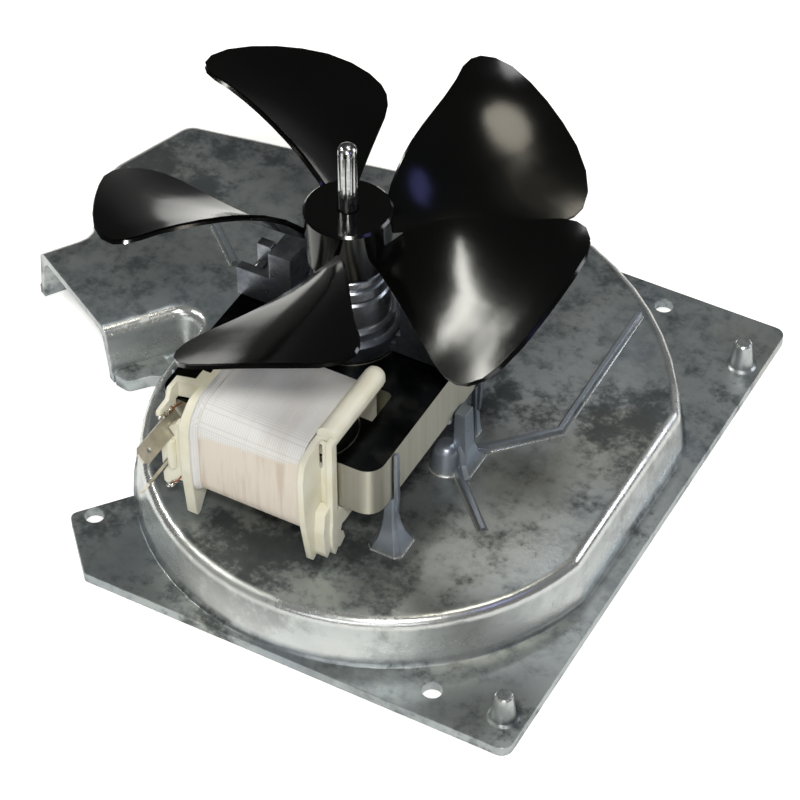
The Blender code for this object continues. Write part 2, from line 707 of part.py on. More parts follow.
def pole_slots(side):
    """The slot through the pole and the notch in its bore that take a shading ring."""
    inner, outer = shade_span()
    gap = SEAT_GAP
    y0, y1 = SHADE_Y - SHADE_WIRE - gap, SHADE_Y + gap
    low, high = STACK_BOTTOM - 5 * mm, STACK_TOP + 5 * mm
    slot = box(side * (outer - SHADE_WIRE - gap), side * (outer + gap), y0, y1, low, high)
    notch = box(side * (inner - 3 * mm), side * (inner + SHADE_WIRE + gap), y0, y1, low, high)
    return slot, notch


def shade_room(side, low, high):
    """Room over or under the stack for the ends of a shading ring."""
    inner, outer = shade_span()
    return box(side * (inner - 1 * mm), side * (outer + 0.6 * mm), SHADE_Y - SHADE_WIRE - 0.6 * mm, SHADE_Y + 0.6 * mm,
               low, high)


def lamination_frame(surface, axis):
    body = solid("lamination_frame", *prism(stack_outline(), STACK_BOTTOM, STACK_TOP), surface, axis)
    cut(body, prism(circle((0, 0), POLE_BORE / 2, 40), STACK_BOTTOM - 2 * mm, STACK_TOP + 2 * mm), "pole_bore")
    for k, side in enumerate((1, -1)):
        hole = circle((side * SCREW_X, SCREW_Y), SCREW_SHANK / 2 + SEAT_GAP, 16)
        cut(body, prism(hole, STACK_BOTTOM - 2 * mm, STACK_TOP + 2 * mm), f"stack_hole_{k}")
        slot, notch = pole_slots(side)
        cut(body, slot, f"pole_slot_{k}")
        cut(body, notch, f"pole_notch_{k}")
    smooth_shown(body, 30)
    return body


def shading_ring(name, side, surface, axis):
    """A closed copper loop round the tip of one pole, standing in its two slots."""
    inner, outer = shade_span()
    wire = SHADE_WIRE
    low, high = STACK_BOTTOM - SEAT_GAP, STACK_TOP + SEAT_GAP
    loop = [(inner, low - SHADE_BAR), (outer, low - SHADE_BAR), (outer, high + SHADE_BAR), (inner, high + SHADE_BAR)]
    body = solid(name, *prism_y([(side * a, b) for a, b in loop], SHADE_Y - wire, SHADE_Y), surface, axis)
    cut(body, box(side * (inner + wire), side * (outer - wire), SHADE_Y - 2 * wire, SHADE_Y + wire, low, high),
        name + "_eye")
    return body


def coil_core(surface, axis):
    """The separate core bar pressed between the legs of the stack."""
    end = core_end(0.0)
    outline = end + mirrored(end)
    body = solid("coil_core", *prism(outline, STACK_BOTTOM, STACK_TOP), surface, axis)
    smooth_shown(body, 30)
    return body


def coil_section(inset):
    """Rounded section of the wound coil in the YZ plane."""
    r = COIL_ROUND - inset
    return rounded([(COIL_FRONT + inset, COIL_LOW + inset, r), (COIL_REAR - inset, COIL_LOW + inset, r),
                    (COIL_REAR - inset, COIL_HIGH - inset, r), (COIL_FRONT + inset, COIL_HIGH - inset, r)], 18.0)


def core_tube(grow):
    """Edges of the bobbin's tube in y and z, grown from the core bar."""
    return STACK_FRONT - grow, CORE_BACK + grow, STACK_BOTTOM - grow, STACK_TOP + grow


def coil_span():
    """Left and right end of the wound coil."""
    return -BOBBIN_LEFT + SEAT_GAP, BOBBIN_INNER - SEAT_GAP


def coil_winding(surface, axis):
    left, right = coil_span()
    section = coil_section(TAPE_THICK + SEAT_GAP)
    body = solid("coil_winding", *prism_x(section, left, right), surface, axis)
    y0, y1, z0, z1 = core_tube(2 * SEAT_GAP + BOBBIN_WALL)
    cut(body, box(2 * left, 2 * right, y0, y1, z0, z1), "winding_tube")
    smooth_shown(body, 30)
    return body


def coil_tape(surface, axis):
    left, right = coil_span()
    body = solid("coil_tape", *prism_x(coil_section(0.0), left, right), surface, axis)
    cut(body, prism_x(coil_section(TAPE_THICK), 2 * left, 2 * right), "tape_inside")
    smooth_shown(body, 30)
    return body


def plate_yz(points):
    """Corners in the YZ plane given in millimetres as (y, z, radius)."""
    return rounded([(y * mm, z * mm, r * mm) for y, z, r in points], 30.0)


def right_inner_plate():
    front, rear = COIL_FRONT / mm, COIL_REAR / mm
    bar = (BOBBIN_TOP - BAR_TALL) / mm
    return plate_yz([(front + 1.7, 19.2, 0.8), (front + 3.9, 20.4, 0.5), (front + 5.6, 24.0, 1.0), (front + 8, 26.0, 1.0),
                     (rear + 1.9, 26.5, 2.0), (rear + 1.9, bar + 1.0, 0), (front + 13.0, bar + 1.0, 0), (front + 5.5, bar + 1.0, 3.0),
                     (front - 0.6, 57.2, 2.5), (front - 2.0, 51.0, 4.0), (front - 1.6, 37.0, 10.0),
                     (front + 0.4, 26.0, 8.0)])


def left_plate():
    front, rear, top = COIL_FRONT / mm, COIL_REAR / mm, LEFT_FLANGE_TOP / mm
    return plate_yz([(front + 1.1, 19.2, 0.8), (front + 3.0, 20.2, 0.8), (front + 7.5, 27.0, 2.0),
                     (rear + 1.9, 27.0, 2.0), (rear + 1.9, top - 2.4, 2.0), (rear - 1.6, top, 0),
                     (front + 5.0, top, 4.0), (front - 0.6, top - 4.6, 4.0), (front - 0.6, 37.0, 4.0)])


def right_outer_plate():
    rear, top, under = COIL_REAR / mm, BOBBIN_TOP / mm, STACK_BOTTOM / mm - 2.2
    stack = STACK_FRONT / mm - 0.4
    return plate_yz([(-46.3, 18.9, 0.3), (-44.9, 20.8, 0.3), (-43.7, 20.0, 0.3), (-41.2, 21.4, 0.3), (-42.0, 24.2, 0.3),
                     (-43.4, 25.6, 0.4), (-42.6, 27.4, 0.4), (rear + 1.4, 27.4, 2.0), (rear + 1.4, under, 0),
                     (stack, under, 0), (stack, top - 2.6, 0), (stack - 2.4, top - 2.8, 0.6), (stack - 2.6, 31.2, 1.0),
                     (-47.6, 29.6, 1.0), (-47.6, 24.0, 1.0)])


def right_middle_web():
    return plate_yz([(-49.0, 19.8, 0.4), (-47.4, 21.2, 0.3), (-46.2, 26.0, 0), (-20.0, 28.0, 0), (-20.0, 33.8, 0),
                     (-45.5, 34.2, 0), (-46.2, 37.4, 0.6), (-49.4, 36.2, 0.8), (-50.4, 30.0, 1.0), (-49.8, 22.0, 0.5)])


def handle_bar():
    """The rounded bar along the bobbin's top, with its rear end rounded off."""
    middle, r = (BOBBIN_INNER + BOBBIN_OUTER) / 2, FLANGE_WIDE / 2
    low = BOBBIN_TOP - BAR_TALL
    section = [Vector((middle - r, low)), Vector((middle + r, low))] + arc_points((middle, BOBBIN_TOP - r), r, 0.0, 180.0, 10)
    rear, base = COIL_REAR + 1.2 * mm, Vector((middle, low))
    rings = []
    for y, part in ((STACK_FRONT - 0.4 * mm, 1.0), (rear - r, 1.0), (rear - r * 0.4, 0.92), (rear - r * 0.1, 0.74), (rear, 0.55)):
        rings.append([Vector((p.x, y, p.y)) for p in (base + (q - base) * part for q in section)])
    return loft(rings)


def tab_shape(which, grow):
    """A flat solder tab as a box that can be grown for its slot: length, place and roll."""
    long, place, roll = TABS[which]
    g = grow
    x, y, z = TAB_WIDE / 2 + g, long / 2 + g, TAB_THICK / 2 + g
    tip = 1.2 * mm
    outline = [(x, y), (-x, y), (-x, -y + tip), (-x + tip, -y), (x - tip, -y), (x, -y + tip)]
    turn = Matrix.Translation(place) @ Matrix.Rotation(radians(roll), 4, "Y")
    points, faces = prism(outline, -z, z)
    return [turn @ p for p in points], faces


TABS = {"upper": (18.0 * mm, Vector((-BOBBIN_OUTER - 4.4 * mm, -54.1 * mm, 46.8 * mm)), 55.0),
        "lower": (17.0 * mm, Vector((-BOBBIN_OUTER - 5.8 * mm, -52.9 * mm, 32.6 * mm)), -62.0)}


def terminal_block():
    """What is moulded outside the left flange: the thin upper wall and the holders of the two solder tabs."""
    left = -BOBBIN_OUTER
    root = left + 2.0 * mm
    back = [(root, -42.4 * mm), (left - 1.0 * mm, -42.4 * mm), (left - 6.3 * mm, -43.6 * mm), (left - 6.3 * mm, -41.4 * mm),
            (left - 1.4 * mm, -40.2 * mm), (left - 1.4 * mm, -36.6 * mm), (root, -36.6 * mm)]
    top = BLOCK_TOP / mm
    wing = plate_yz([(-41.6, top, 0), (-46.3, top, 0.6), (-47.6, top - 3.0, 0.6), (-52.1, top - 3.5, 0.8), (-52.3, top - 5.4, 0.6),
                     (-44.4, top - 7.0, 0), (-41.6, top - 7.0, 0)])
    front = [(root, 29.5 * mm), (left - 1.6 * mm, 28.8 * mm), (left - 5.0 * mm, 25.2 * mm), (left - 6.5 * mm, 26.5 * mm),
             (left - 6.6 * mm, 37.5 * mm), (left - 4.8 * mm, 46.2 * mm), (left - 1.8 * mm, 49.6 * mm), (root, 49.6 * mm)]
    return (prism(back, 30.0 * mm, BLOCK_TOP), prism_x(wing, left - 6.3 * mm, left - 5.0 * mm),
            prism_y(front, -50.4 * mm, -48.2 * mm),
            box(left - 5.4 * mm, root, -48.8 * mm, -41.9 * mm, 28.6 * mm, 39.0 * mm))


def coil_bobbin(surface, axis):
    """One moulding: square tube, two flanges, prongs, top bar and terminal block."""
    y0, y1, z0, z1 = core_tube(SEAT_GAP + BOBBIN_WALL)
    half = BOBBIN_INNER + 1.0 * mm
    body = solid("coil_bobbin", *box(-BOBBIN_LEFT - 1.0 * mm, half, y0, y1, z0, z1), surface, axis)
    x0, x1, plate = BOBBIN_INNER, BOBBIN_OUTER, BOBBIN_PLATE
    join(body, prism_x(right_inner_plate(), x0, x0 + plate), "flange_inner_plate")
    join(body, prism_x(right_middle_web(), x0 + plate / 2, x1 - plate / 2), "flange_web")
    join(body, prism_x(right_outer_plate(), x1 - plate, x1), "flange_outer_plate")
    join(body, handle_bar(), "flange_bar")
    join(body, box(x0 + plate - 0.2 * mm, x1 - plate + 0.2 * mm, STACK_FRONT - 1.8 * mm, STACK_FRONT - 0.5 * mm,
                   STACK_BOTTOM - 3 * mm, BOBBIN_TOP - BAR_TALL), "flange_back")
    join(body, prism_x(left_plate(), -BOBBIN_LEFT - LEFT_THICK, -BOBBIN_LEFT), "left_flange")
    for name, shape in zip(("back", "wing", "front", "foot"), terminal_block()):
        join(body, shape, "terminal_block_" + name)
    y0, y1, z0, z1 = core_tube(SEAT_GAP)
    cut(body, box(-3 * half, 3 * half, y0, y1, z0, z1), "core_window")
    cut(body, box(x0 - 0.5 * mm, x0 + plate + 0.5 * mm, STACK_FRONT - 2.2 * mm, STACK_FRONT + 0.3 * mm,
                  STACK_TOP - 2 * mm, BOBBIN_TOP - BAR_TALL - 0.3 * mm), "lead_slot")
    for which in TABS:
        cut(body, tab_shape(which, SEAT_GAP), f"tab_slot_{which}")
    smooth_shown(body, 34)
    return body


def terminal(name, which, surface, axis):
    body = solid(name, *tab_shape(which, 0.0), surface, axis)
    long, place, roll = TABS[which]
    turn = Matrix.Translation(place) @ Matrix.Rotation(radians(roll), 4, "Y")
    points, faces = prism(circle((0.0, -long / 2 + 3.4 * mm), TAB_HOLE / 2, 12), -TAB_THICK, TAB_THICK)
    cut(body, ([turn @ p for p in points], faces), name + "_eye")
    return body


# bearings and screws

BRIDGE_FLOOR = STACK_TOP + SEAT_GAP
DOME_TOP = BRIDGE_FLOOR + DOME_TALL
NECK_TOP = DOME_TOP + NECK_TALL
CAN_TOP = NECK_TOP + CAN_TALL
CAP_TOP = CAN_TOP + CAP_TALL
SHAFT_WAY = SHAFT_DIAMETER / 2 + RUNNING_GAP


def bridge_foot(side):
    """Foot of the upper bridge with its open screw pocket, and the horn beside the bearing."""
    low, top = BRIDGE_FLOOR, BRIDGE_FLOOR + FOOT_TALL
    return box(side * FOOT_INNER, side * FOOT_OUTER, BRIDGE_FRONT, BRIDGE_BACK, low, top)


def bridge_horn(side):
    return box(side * HORN_INNER, side * (FOOT_INNER + 0.8 * mm), BRIDGE_FRONT, BRIDGE_BACK - FOOT_WALL,
               BRIDGE_FLOOR, HORN_TOP)


def bridge_upper(surface, axis):
    """Die-cast yoke over the stack: two feet, two horns and the bearing can."""
    dome, neck, can = DOME_DIAMETER / 2, NECK_DIAMETER / 2, CAN_DIAMETER / 2
    profile = [(dome, BRIDGE_FLOOR), (dome, DOME_TOP - 1.0 * mm), (dome - 0.8 * mm, DOME_TOP - 0.2 * mm),
               (neck + 0.1 * mm, DOME_TOP), (neck, DOME_TOP + 0.3 * mm), (neck, NECK_TOP - 0.7 * mm), (neck - 0.7 * mm, NECK_TOP),
               (can, NECK_TOP + 0.2 * mm), (can, CAN_TOP - 0.6 * mm), (can - 0.6 * mm, CAN_TOP)]
    body = solid("bearing_bridge_upper", *turned(profile, 32), surface, axis)
    join(body, box(-FOOT_INNER - 0.8 * mm, FOOT_INNER + 0.8 * mm, BRIDGE_FRONT, BRIDGE_BACK - FOOT_WALL, BRIDGE_FLOOR,
                   BRIDGE_FLOOR + FOOT_FLOOR), "bridge_strap")
    for k, side in enumerate((1, -1)):
        join(body, bridge_horn(side), f"bridge_horn_{k}")
        join(body, bridge_foot(side), f"bridge_foot_{k}")
    ring = [(HORN_HOLLOW / 2, DOME_TOP + 0.6 * mm), (HORN_HOLLOW / 2, HORN_TOP + 2 * mm),
            (neck + 0.5 * mm, HORN_TOP + 2 * mm), (neck + 0.5 * mm, DOME_TOP + 0.6 * mm)]
    cut(body, turned_ring(ring, 32), "horn_hollow")
    low, top = BRIDGE_FLOOR + FOOT_FLOOR, BRIDGE_FLOOR + FOOT_TALL + 2 * mm
    for k, side in enumerate((1, -1)):
        cut(body, box(side * (FOOT_INNER + 1.6 * mm), side * (FOOT_OUTER + 2 * mm), BRIDGE_FRONT + FOOT_WALL,
                      BRIDGE_BACK - FOOT_WALL, low, top), f"foot_pocket_{k}")
        cut(body, box(side * (FOOT_INNER + 1.6 * mm), side * (SCREW_X + 0.4 * mm), SCREW_Y, BRIDGE_BACK + 2 * mm,
                      low, top), f"foot_rear_{k}")
        hole = circle((side * SCREW_X, SCREW_Y), SCREW_SHANK / 2 + SEAT_GAP, 16)
        cut(body, prism(hole, BRIDGE_FLOOR - 2 * mm, top), f"foot_hole_{k}")
    cage = CAGE_DIAMETER / 2 + 1.4 * mm
    cut(body, prism(circle((0, 0), cage, 32), BRIDGE_FLOOR - 2 * mm, BRIDGE_FLOOR + CAGE_RING + 0.6 * mm), "cage_room")
    washer = circle((0, 0), WASHER_DIAMETER / 2 + 0.6 * mm, 20)
    cut(body, prism(washer, BRIDGE_FLOOR - 2 * mm, STACK_TOP + CAGE_RING + WASHER_THICK + 2 * SEAT_GAP), "washer_room")
    for k, side in enumerate((1, -1)):
        cut(body, shade_room(side, BRIDGE_FLOOR - 2 * mm, STACK_TOP + 2 * SEAT_GAP + SHADE_BAR), f"ring_room_{k}")
    cut(body, prism(circle((0, 0), SHAFT_WAY + 0.8 * mm, 24), BRIDGE_FLOOR - 2 * mm, CAN_TOP + 2 * mm), "shaft_way")
    seat = CAN_TOP - BUSH_TALL
    cut(body, prism(circle((0, 0), BUSH_DIAMETER / 2 + SEAT_GAP, 28), seat, CAN_TOP + 2 * mm), "bush_seat")
    smooth_shown(body, 34)
    return body


def bearing_cap(surface, axis):
    """Pressed cover ring on the bearing can, round the shaft."""
    outer, ring, bore = CAP_DIAMETER / 2, CAP_RING / 2, SHAFT_WAY + 1.2 * mm
    low = CAN_TOP + SEAT_GAP
    top = low + CAP_TALL + 3.0 * mm
    loop = [(bore, low), (outer, low), (outer, low + CAP_TALL - 0.5 * mm), (outer - 0.5 * mm, low + CAP_TALL),
            (ring - 0.4 * mm, low + CAP_TALL), (ring - 0.4 * mm, low + CAP_TALL + 0.4 * mm),
            (ring, low + CAP_TALL + 0.8 * mm), (ring, top - 0.5 * mm), (ring - 0.6 * mm, top), (bore, top)]
    return solid("bearing_cap", *turned_ring(loop, 32), surface, axis, 34)


def bush(name, low, surface, axis):
    """Sintered bush with a plain bore."""
    outer = BUSH_DIAMETER / 2
    top = low + BUSH_TALL - 2 * SEAT_GAP
    loop = [(SHAFT_WAY, low), (outer - 0.4 * mm, low), (outer, low + 0.4 * mm), (outer, top - 0.4 * mm),
            (outer - 0.4 * mm, top), (SHAFT_WAY, top)]
    return solid(name, *turned_ring(loop, 24), surface, axis, 34)


def lower_levels():
    """Heights of the lower bridge: its top, the underside of its arms and of its cup."""
    top = STACK_BOTTOM - SEAT_GAP
    return top, top - LOWER_THICK, top - LOWER_CUP_TALL


def bridge_lower(surface, axis):
    """Flat yoke under the stack with the lower bearing's cup."""
    top, arm, cup = lower_levels()
    reach, half = SCREW_X + LOWER_END, LOWER_HALF
    wide, deep, r = LOWER_CUP / 2 - 1 * mm, LOWER_CUP / 2 + 1.5 * mm, half - 2.2 * mm
    outline = rounded([(reach, SCREW_Y - half, r), (reach, SCREW_Y + half, r), (wide, deep, r), (-wide, deep, r),
                       (-reach, SCREW_Y + half, r), (-reach, SCREW_Y - half, r), (-wide, -deep, r), (wide, -deep, r)], 30.0)
    body = solid("bearing_bridge_lower", *prism(outline, arm, top), surface, axis)
    r = LOWER_CUP / 2
    join(body, turned([(r - 1.5 * mm, cup), (r, cup + 1.5 * mm), (r + 0.8 * mm, arm + 1 * mm)], 32), "bearing_cup")
    cage = CAGE_DIAMETER / 2 + 1.0 * mm
    cut(body, prism(circle((0, 0), cage, 32), top - CAGE_RING - 0.6 * mm, top + 2 * mm), "cage_room_low")
    for k, side in enumerate((1, -1)):
        hole = circle((side * SCREW_X, SCREW_Y), SCREW_SHANK / 2 + SEAT_GAP, 16)
        cut(body, prism(hole, arm - 2 * mm, top + 2 * mm), f"lower_hole_{k}")
        cut(body, shade_room(side, STACK_BOTTOM - 2 * SEAT_GAP - SHADE_BAR, top + 2 * mm), f"ring_room_low_{k}")
    cut(body, prism(circle((0, 0), SHAFT_WAY + 0.8 * mm, 24), cup - 2 * mm, top + 2 * mm), "shaft_way_low")
    cut(body, prism(circle((0, 0), BUSH_DIAMETER / 2 + SEAT_GAP, 28), cup + 1.2 * mm, top + 2 * mm), "bush_seat_low")
    smooth_shown(body, 34)
    return body


def bridge_screw(name, side, surface, axis):
    """Long slotted screw through bridge, stack and lower yoke."""
    low = lower_levels()[1] - 3.0 * mm
    seat = BRIDGE_FLOOR + FOOT_FLOOR + SEAT_GAP
    shank, head = SCREW_SHANK / 2, SCREW_HEAD / 2
    profile = [(shank * 0.7, low), (shank, low + 0.8 * mm), (shank, seat), (head, seat), (head, seat + SCREW_HEAD_TALL * 0.7),
               (head * 0.75, seat + SCREW_HEAD_TALL)]
    body = solid(name, *turned(profile, 16, (side * SCREW_X, SCREW_Y)), surface, axis)
    x = side * SCREW_X
    cut(body, box(x - 0.5 * mm, x + 0.5 * mm, SCREW_Y - head - 1 * mm, SCREW_Y + head + 1 * mm,
                  seat + SCREW_HEAD_TALL - 1.2 * mm, seat + SCREW_HEAD_TALL + 2 * mm), name + "_slot")
    smooth_shown(body, 34)
    return body


def thrust_washer(name, low, surface, axis):
    outer = WASHER_DIAMETER / 2
    loop = [(SHAFT_WAY, low), (outer, low), (outer, low + WASHER_THICK), (SHAFT_WAY, low + WASHER_THICK)]
    return solid(name, *turned_ring(loop, 16), surface, axis, 34)


# turning pieces

def rotor_shaft(surface, spin):
    """Ground steel shaft with a fluted upper end."""
    r = SHAFT_DIAMETER / 2
    steps = 2 * FLUTE_COUNT * 2
    rings = []
    levels = [(SHAFT_LOW, r - 0.5 * mm, 0), (SHAFT_LOW + 0.5 * mm, r, 0), (FLUTE_LOW, r, 0), (FLUTE_LOW + 1.0 * mm, r, 1),
              (FLUTE_HIGH - 1.0 * mm, r, 1), (FLUTE_HIGH, r, 0), (SHAFT_TOP - 1.0 * mm, r - 0.1 * mm, 0),
              (SHAFT_TOP - 0.3 * mm, r - 0.7 * mm, 0), (SHAFT_TOP, r - 1.5 * mm, 0)]
    for z, radius, fluted in levels:
        ring = []
        for k in range(steps):
            dip = FLUTE_DEEP * fluted if k % 4 in (1, 2) else 0.0
            ring.append(Vector((*(unit(2 * pi * k / steps) * (radius - dip)), z)))
        rings.append(ring)
    return solid("rotor_shaft", *loft(rings), surface, spin, 34)


def rotor_core(surface, spin):
    """Laminated rotor with the rings of its cast cage."""
    r, ring = POLE_BORE / 2 - AIR_GAP, CAGE_DIAMETER / 2
    bore = SHAFT_DIAMETER / 2 + SEAT_GAP
    low, top = STACK_BOTTOM, STACK_TOP
    loop = [(bore, low - CAGE_RING), (ring - 0.6 * mm, low - CAGE_RING), (ring, low - 0.4 * mm), (ring, low), (r, low), (r, top),
            (ring, top), (ring, top + 0.4 * mm), (ring - 0.6 * mm, top + CAGE_RING), (bore, top + CAGE_RING)]
    return solid("rotor_core", *turned_ring(loop, 28), surface, spin, 34)


def blade_edge(count):
    """Plan of one blade as four runs of points: leading side, tip, trailing side, root.

    x runs out along the blade and y across it; both outer corners are widely rounded.
    """
    tip = FAN_DIAMETER / 2
    lead, trail = radians(-9.5), radians(45.3)
    root_x = HUB_DIAMETER / 2 - 1.2 * mm
    root_lead, root_trail = 1.3 * BLADE_UNIT, 4.0 * BLADE_UNIT

    def tip_point(t):
        u = 2 * t - 1
        angle = lead + (trail - lead) * t
        return unit(angle) * (tip + (-0.65 * u + 2.96 * u * u) * BLADE_UNIT)

    def side_point(a, b, t, bow, skew):
        run = b - a
        normal = Vector((-run.y, run.x)).normalized()
        return a + run * t + normal * (bow * 4 * t * (1 - t) + skew * 10 * t * (1 - t) * (1 - 2 * t))

    a0, b0 = Vector((root_x, root_lead)), Vector((root_x, root_trail))
    a1, b1 = tip_point(0.0), tip_point(1.0)
    dense = 40
    path = [side_point(a0, a1, k / dense, 1.2 * BLADE_UNIT, 0.31 * BLADE_UNIT) for k in range(dense)]
    mark_a = len(path)
    path += [tip_point(k / (2 * dense)) for k in range(2 * dense)]
    mark_b = len(path)
    path += [side_point(b1, b0, k / dense, 1.49 * BLADE_UNIT, 1.17 * BLADE_UNIT) for k in range(dense + 1)]
    far = [0.0]
    for k in range(1, len(path)):
        far.append(far[-1] + (path[k] - path[k - 1]).length)

    def at(s):
        s = max(0.0, min(far[-1], s))
        k = next(j for j in range(1, len(far)) if far[j] >= s)
        t = (s - far[k - 1]) / (far[k] - far[k - 1])
        return path[k - 1].lerp(path[k], t)

    turns = ((far[mark_a], 19.7 * BLADE_UNIT), (far[mark_b], 16.1 * BLADE_UNIT))

    def eased(s):
        for middle, reach in turns:
            if abs(s - middle) < reach:
                t = (s - middle + reach) / (2 * reach)
                a, b, c = at(middle - reach), at(middle), at(middle + reach)
                return a * (1 - t) ** 2 + b * 2 * t * (1 - t) + c * t * t
        return at(s)

    across, along = count
    cuts = (0.0, turns[0][0], turns[1][0], far[-1])
    lead_side = [eased(cuts[1] * k / along) for k in range(along + 1)]
    tip_side = [eased(cuts[1] + (cuts[2] - cuts[1]) * k / across) for k in range(across + 1)]
    trail_side = [eased(cuts[3] + (cuts[2] - cuts[3]) * k / along) for k in range(along + 1)]
    root_side = [a0.lerp(b0, k / across) for k in range(across + 1)]
    return lead_side, tip_side, trail_side, root_side


def blade_height(spot):
    """Height of the blade's middle surface: pitch that eases towards the tip, with camber."""
    x = (spot.x / BLADE_UNIT - 11.6) / 50.0
    y = spot.y / BLADE_UNIT
    z = 6.11 * x + 0.61 * x * x
    z += (1.588 - 2.715 * x + 1.652 * x * x) * y
    z += (-0.237 + 0.864 * x - 0.586 * x * x) * y * y / 20.0
    z += -0.29 * y ** 3 / 2000.0
    return HUB_BOTTOM + BLADE_RISE + z * BLADE_UNIT


def blade_grid(across, along):
    """Plan points of the blade, spread evenly between its four sides."""
    lead, tip, trail, root = blade_edge((across, along))
    grid = []
    for j in range(along + 1):
        v = j / along
        row = []
        for i in range(across + 1):
            u = i / across
            spot = lead[j] * (1 - u) + trail[j] * u + root[i] * (1 - v) + tip[i] * v
            spot -= (root[0] * (1 - u) * (1 - v) + root[-1] * u * (1 - v) + tip[0] * (1 - u) * v + tip[-1] * u * v)
            row.append(spot)
        grid.append(row)
    return grid


def blade(across=9, along=10):
    """One closed blade: two skins and a rounded edge between them."""
    grid = blade_grid(across, along)
    wide = across + 1
    mid, normal = [], []
    tiny = 0.05 * mm
    for row in grid:
        for p in row:
            z = blade_height(p)
            dx = (blade_height(p + Vector((tiny, 0))) - z) / tiny
            dy = (blade_height(p + Vector((0, tiny))) - z) / tiny
            mid.append(Vector((p.x, p.y, z)))
            normal.append(Vector((-dx, -dy, 1.0)).normalized())
    half = BLADE_THICK / 2
    points = [m + n * half for m, n in zip(mid, normal)] + [m - n * half for m, n in zip(mid, normal)]
    below = len(mid)
    faces = []
    for j in range(along):
        for i in range(across):
            a, b, c, d = j * wide + i, j * wide + i + 1, (j + 1) * wide + i + 1, (j + 1) * wide + i
            faces.append([a, b, c, d])
            faces.append([below + d, below + c, below + b, below + a])
    loop = [i for i in range(wide)]
    loop += [j * wide + across for j in range(1, along + 1)]
    loop += [along * wide + i for i in range(across - 1, -1, -1)]
    loop += [j * wide for j in range(along - 1, 0, -1)]
    n = len(loop)
    edge = []
    for k in range(n):
        before, here, after = mid[loop[k - 1]], mid[loop[k]], mid[loop[(k + 1) % n]]
        way = (after - before).normalized()
        side = way.cross(normal[loop[k]])
        edge.append(here + side * half * 0.7)
    first = len(points)
    points += edge
    for k in range(n):
        m = (k + 1) % n
        faces.append([loop[m], loop[k], first + k, first + m])
        faces.append([first + m, first + k, below + loop[k], below + loop[m]])
    return points, faces


def cooling_fan(surface, spin):
    """Moulded fan: cup-shaped hub with a core on the shaft, and five twisted blades."""
    outer, foot = HUB_DIAMETER / 2, HUB_FOOT_DIAMETER / 2
    low, top = HUB_BOTTOM, HUB_BOTTOM + HUB_TALL
    bore = SHAFT_DIAMETER / 2 + SEAT_GAP
    loop = [(bore, low + 1.5 * mm), (HUB_CORE / 2, low + 1.5 * mm), (HUB_CORE / 2, top - HUB_WALL),
            (foot - HUB_WALL, top - HUB_WALL), (foot - HUB_WALL, low), (foot, low), (outer, top - 0.6 * mm),
            (outer - 0.6 * mm, top), (bore, top)]
    body = solid("cooling_fan", *turned_ring(loop, 32), surface, spin)
    points, faces = blade()
    everything, sides = [], []
    for k in range(BLADE_COUNT):
        turn = Matrix.Rotation(radians(BLADE_FIRST) + 2 * pi * k / BLADE_COUNT, 3, "Z")
        start = len(everything)
        everything += [turn @ p for p in points]
        sides += [[start + i for i in face] for face in faces]
    join(body, (everything, sides), "fan_blades")
    smooth_shown(body, 34)
    return body


def blower_wheel(surface, spin):
    """Radial wheel in the scroll: disc, hub and a ring of backward-leaning vanes."""
    rim, eye = WHEEL_DIAMETER / 2, WHEEL_EYE / 2
    bore = SHAFT_DIAMETER / 2 + SEAT_GAP
    top, low = WHEEL_TOP, WHEEL_BOTTOM
    hub_low = low + NUT_TALL + SEAT_GAP
    loop = [(bore, hub_low), (WHEEL_HUB / 2, hub_low), (WHEEL_HUB / 2 + 1 * mm, top - WHEEL_DISC - 1 * mm),
            (WHEEL_HUB / 2 + 3 * mm, top - WHEEL_DISC), (rim, top - WHEEL_DISC), (rim, top), (bore, top)]
    body = solid("blower_wheel", *turned_ring(loop, 36), surface, spin)
    points, faces = [], []
    lean = radians(32)
    for k in range(WHEEL_VANES):
        turn = 2 * pi * k / WHEEL_VANES
        path = []
        for j in range(4):
            t = j / 3
            path.append(unit(turn - lean * t * t) * (eye + (rim - 0.6 * mm - eye) * t))
        shape, sides = prism(stroke(path, VANE_THICK), low, top - WHEEL_DISC / 2)
        start = len(points)
        points += shape
        faces += [[start + i for i in side] for side in sides]
    join(body, (points, faces), "wheel_vanes")
    smooth_shown(body, 34)
    return body


def blower_nut(surface, spin):
    """Hexagon nut that holds the radial wheel on the shaft's lower end."""
    r = NUT_ACROSS / sqrt(3)
    low, top = WHEEL_BOTTOM, WHEEL_BOTTOM + NUT_TALL
    body = solid("blower_nut", *prism(circle((0, 0), r, 6), low, top), surface, spin)
    bore = SHAFT_DIAMETER / 2 + SEAT_GAP
    cut(body, prism(circle((0, 0), bore, 20), low - 1 * mm, top + 1 * mm), "nut_bore")
    return body


# assembly

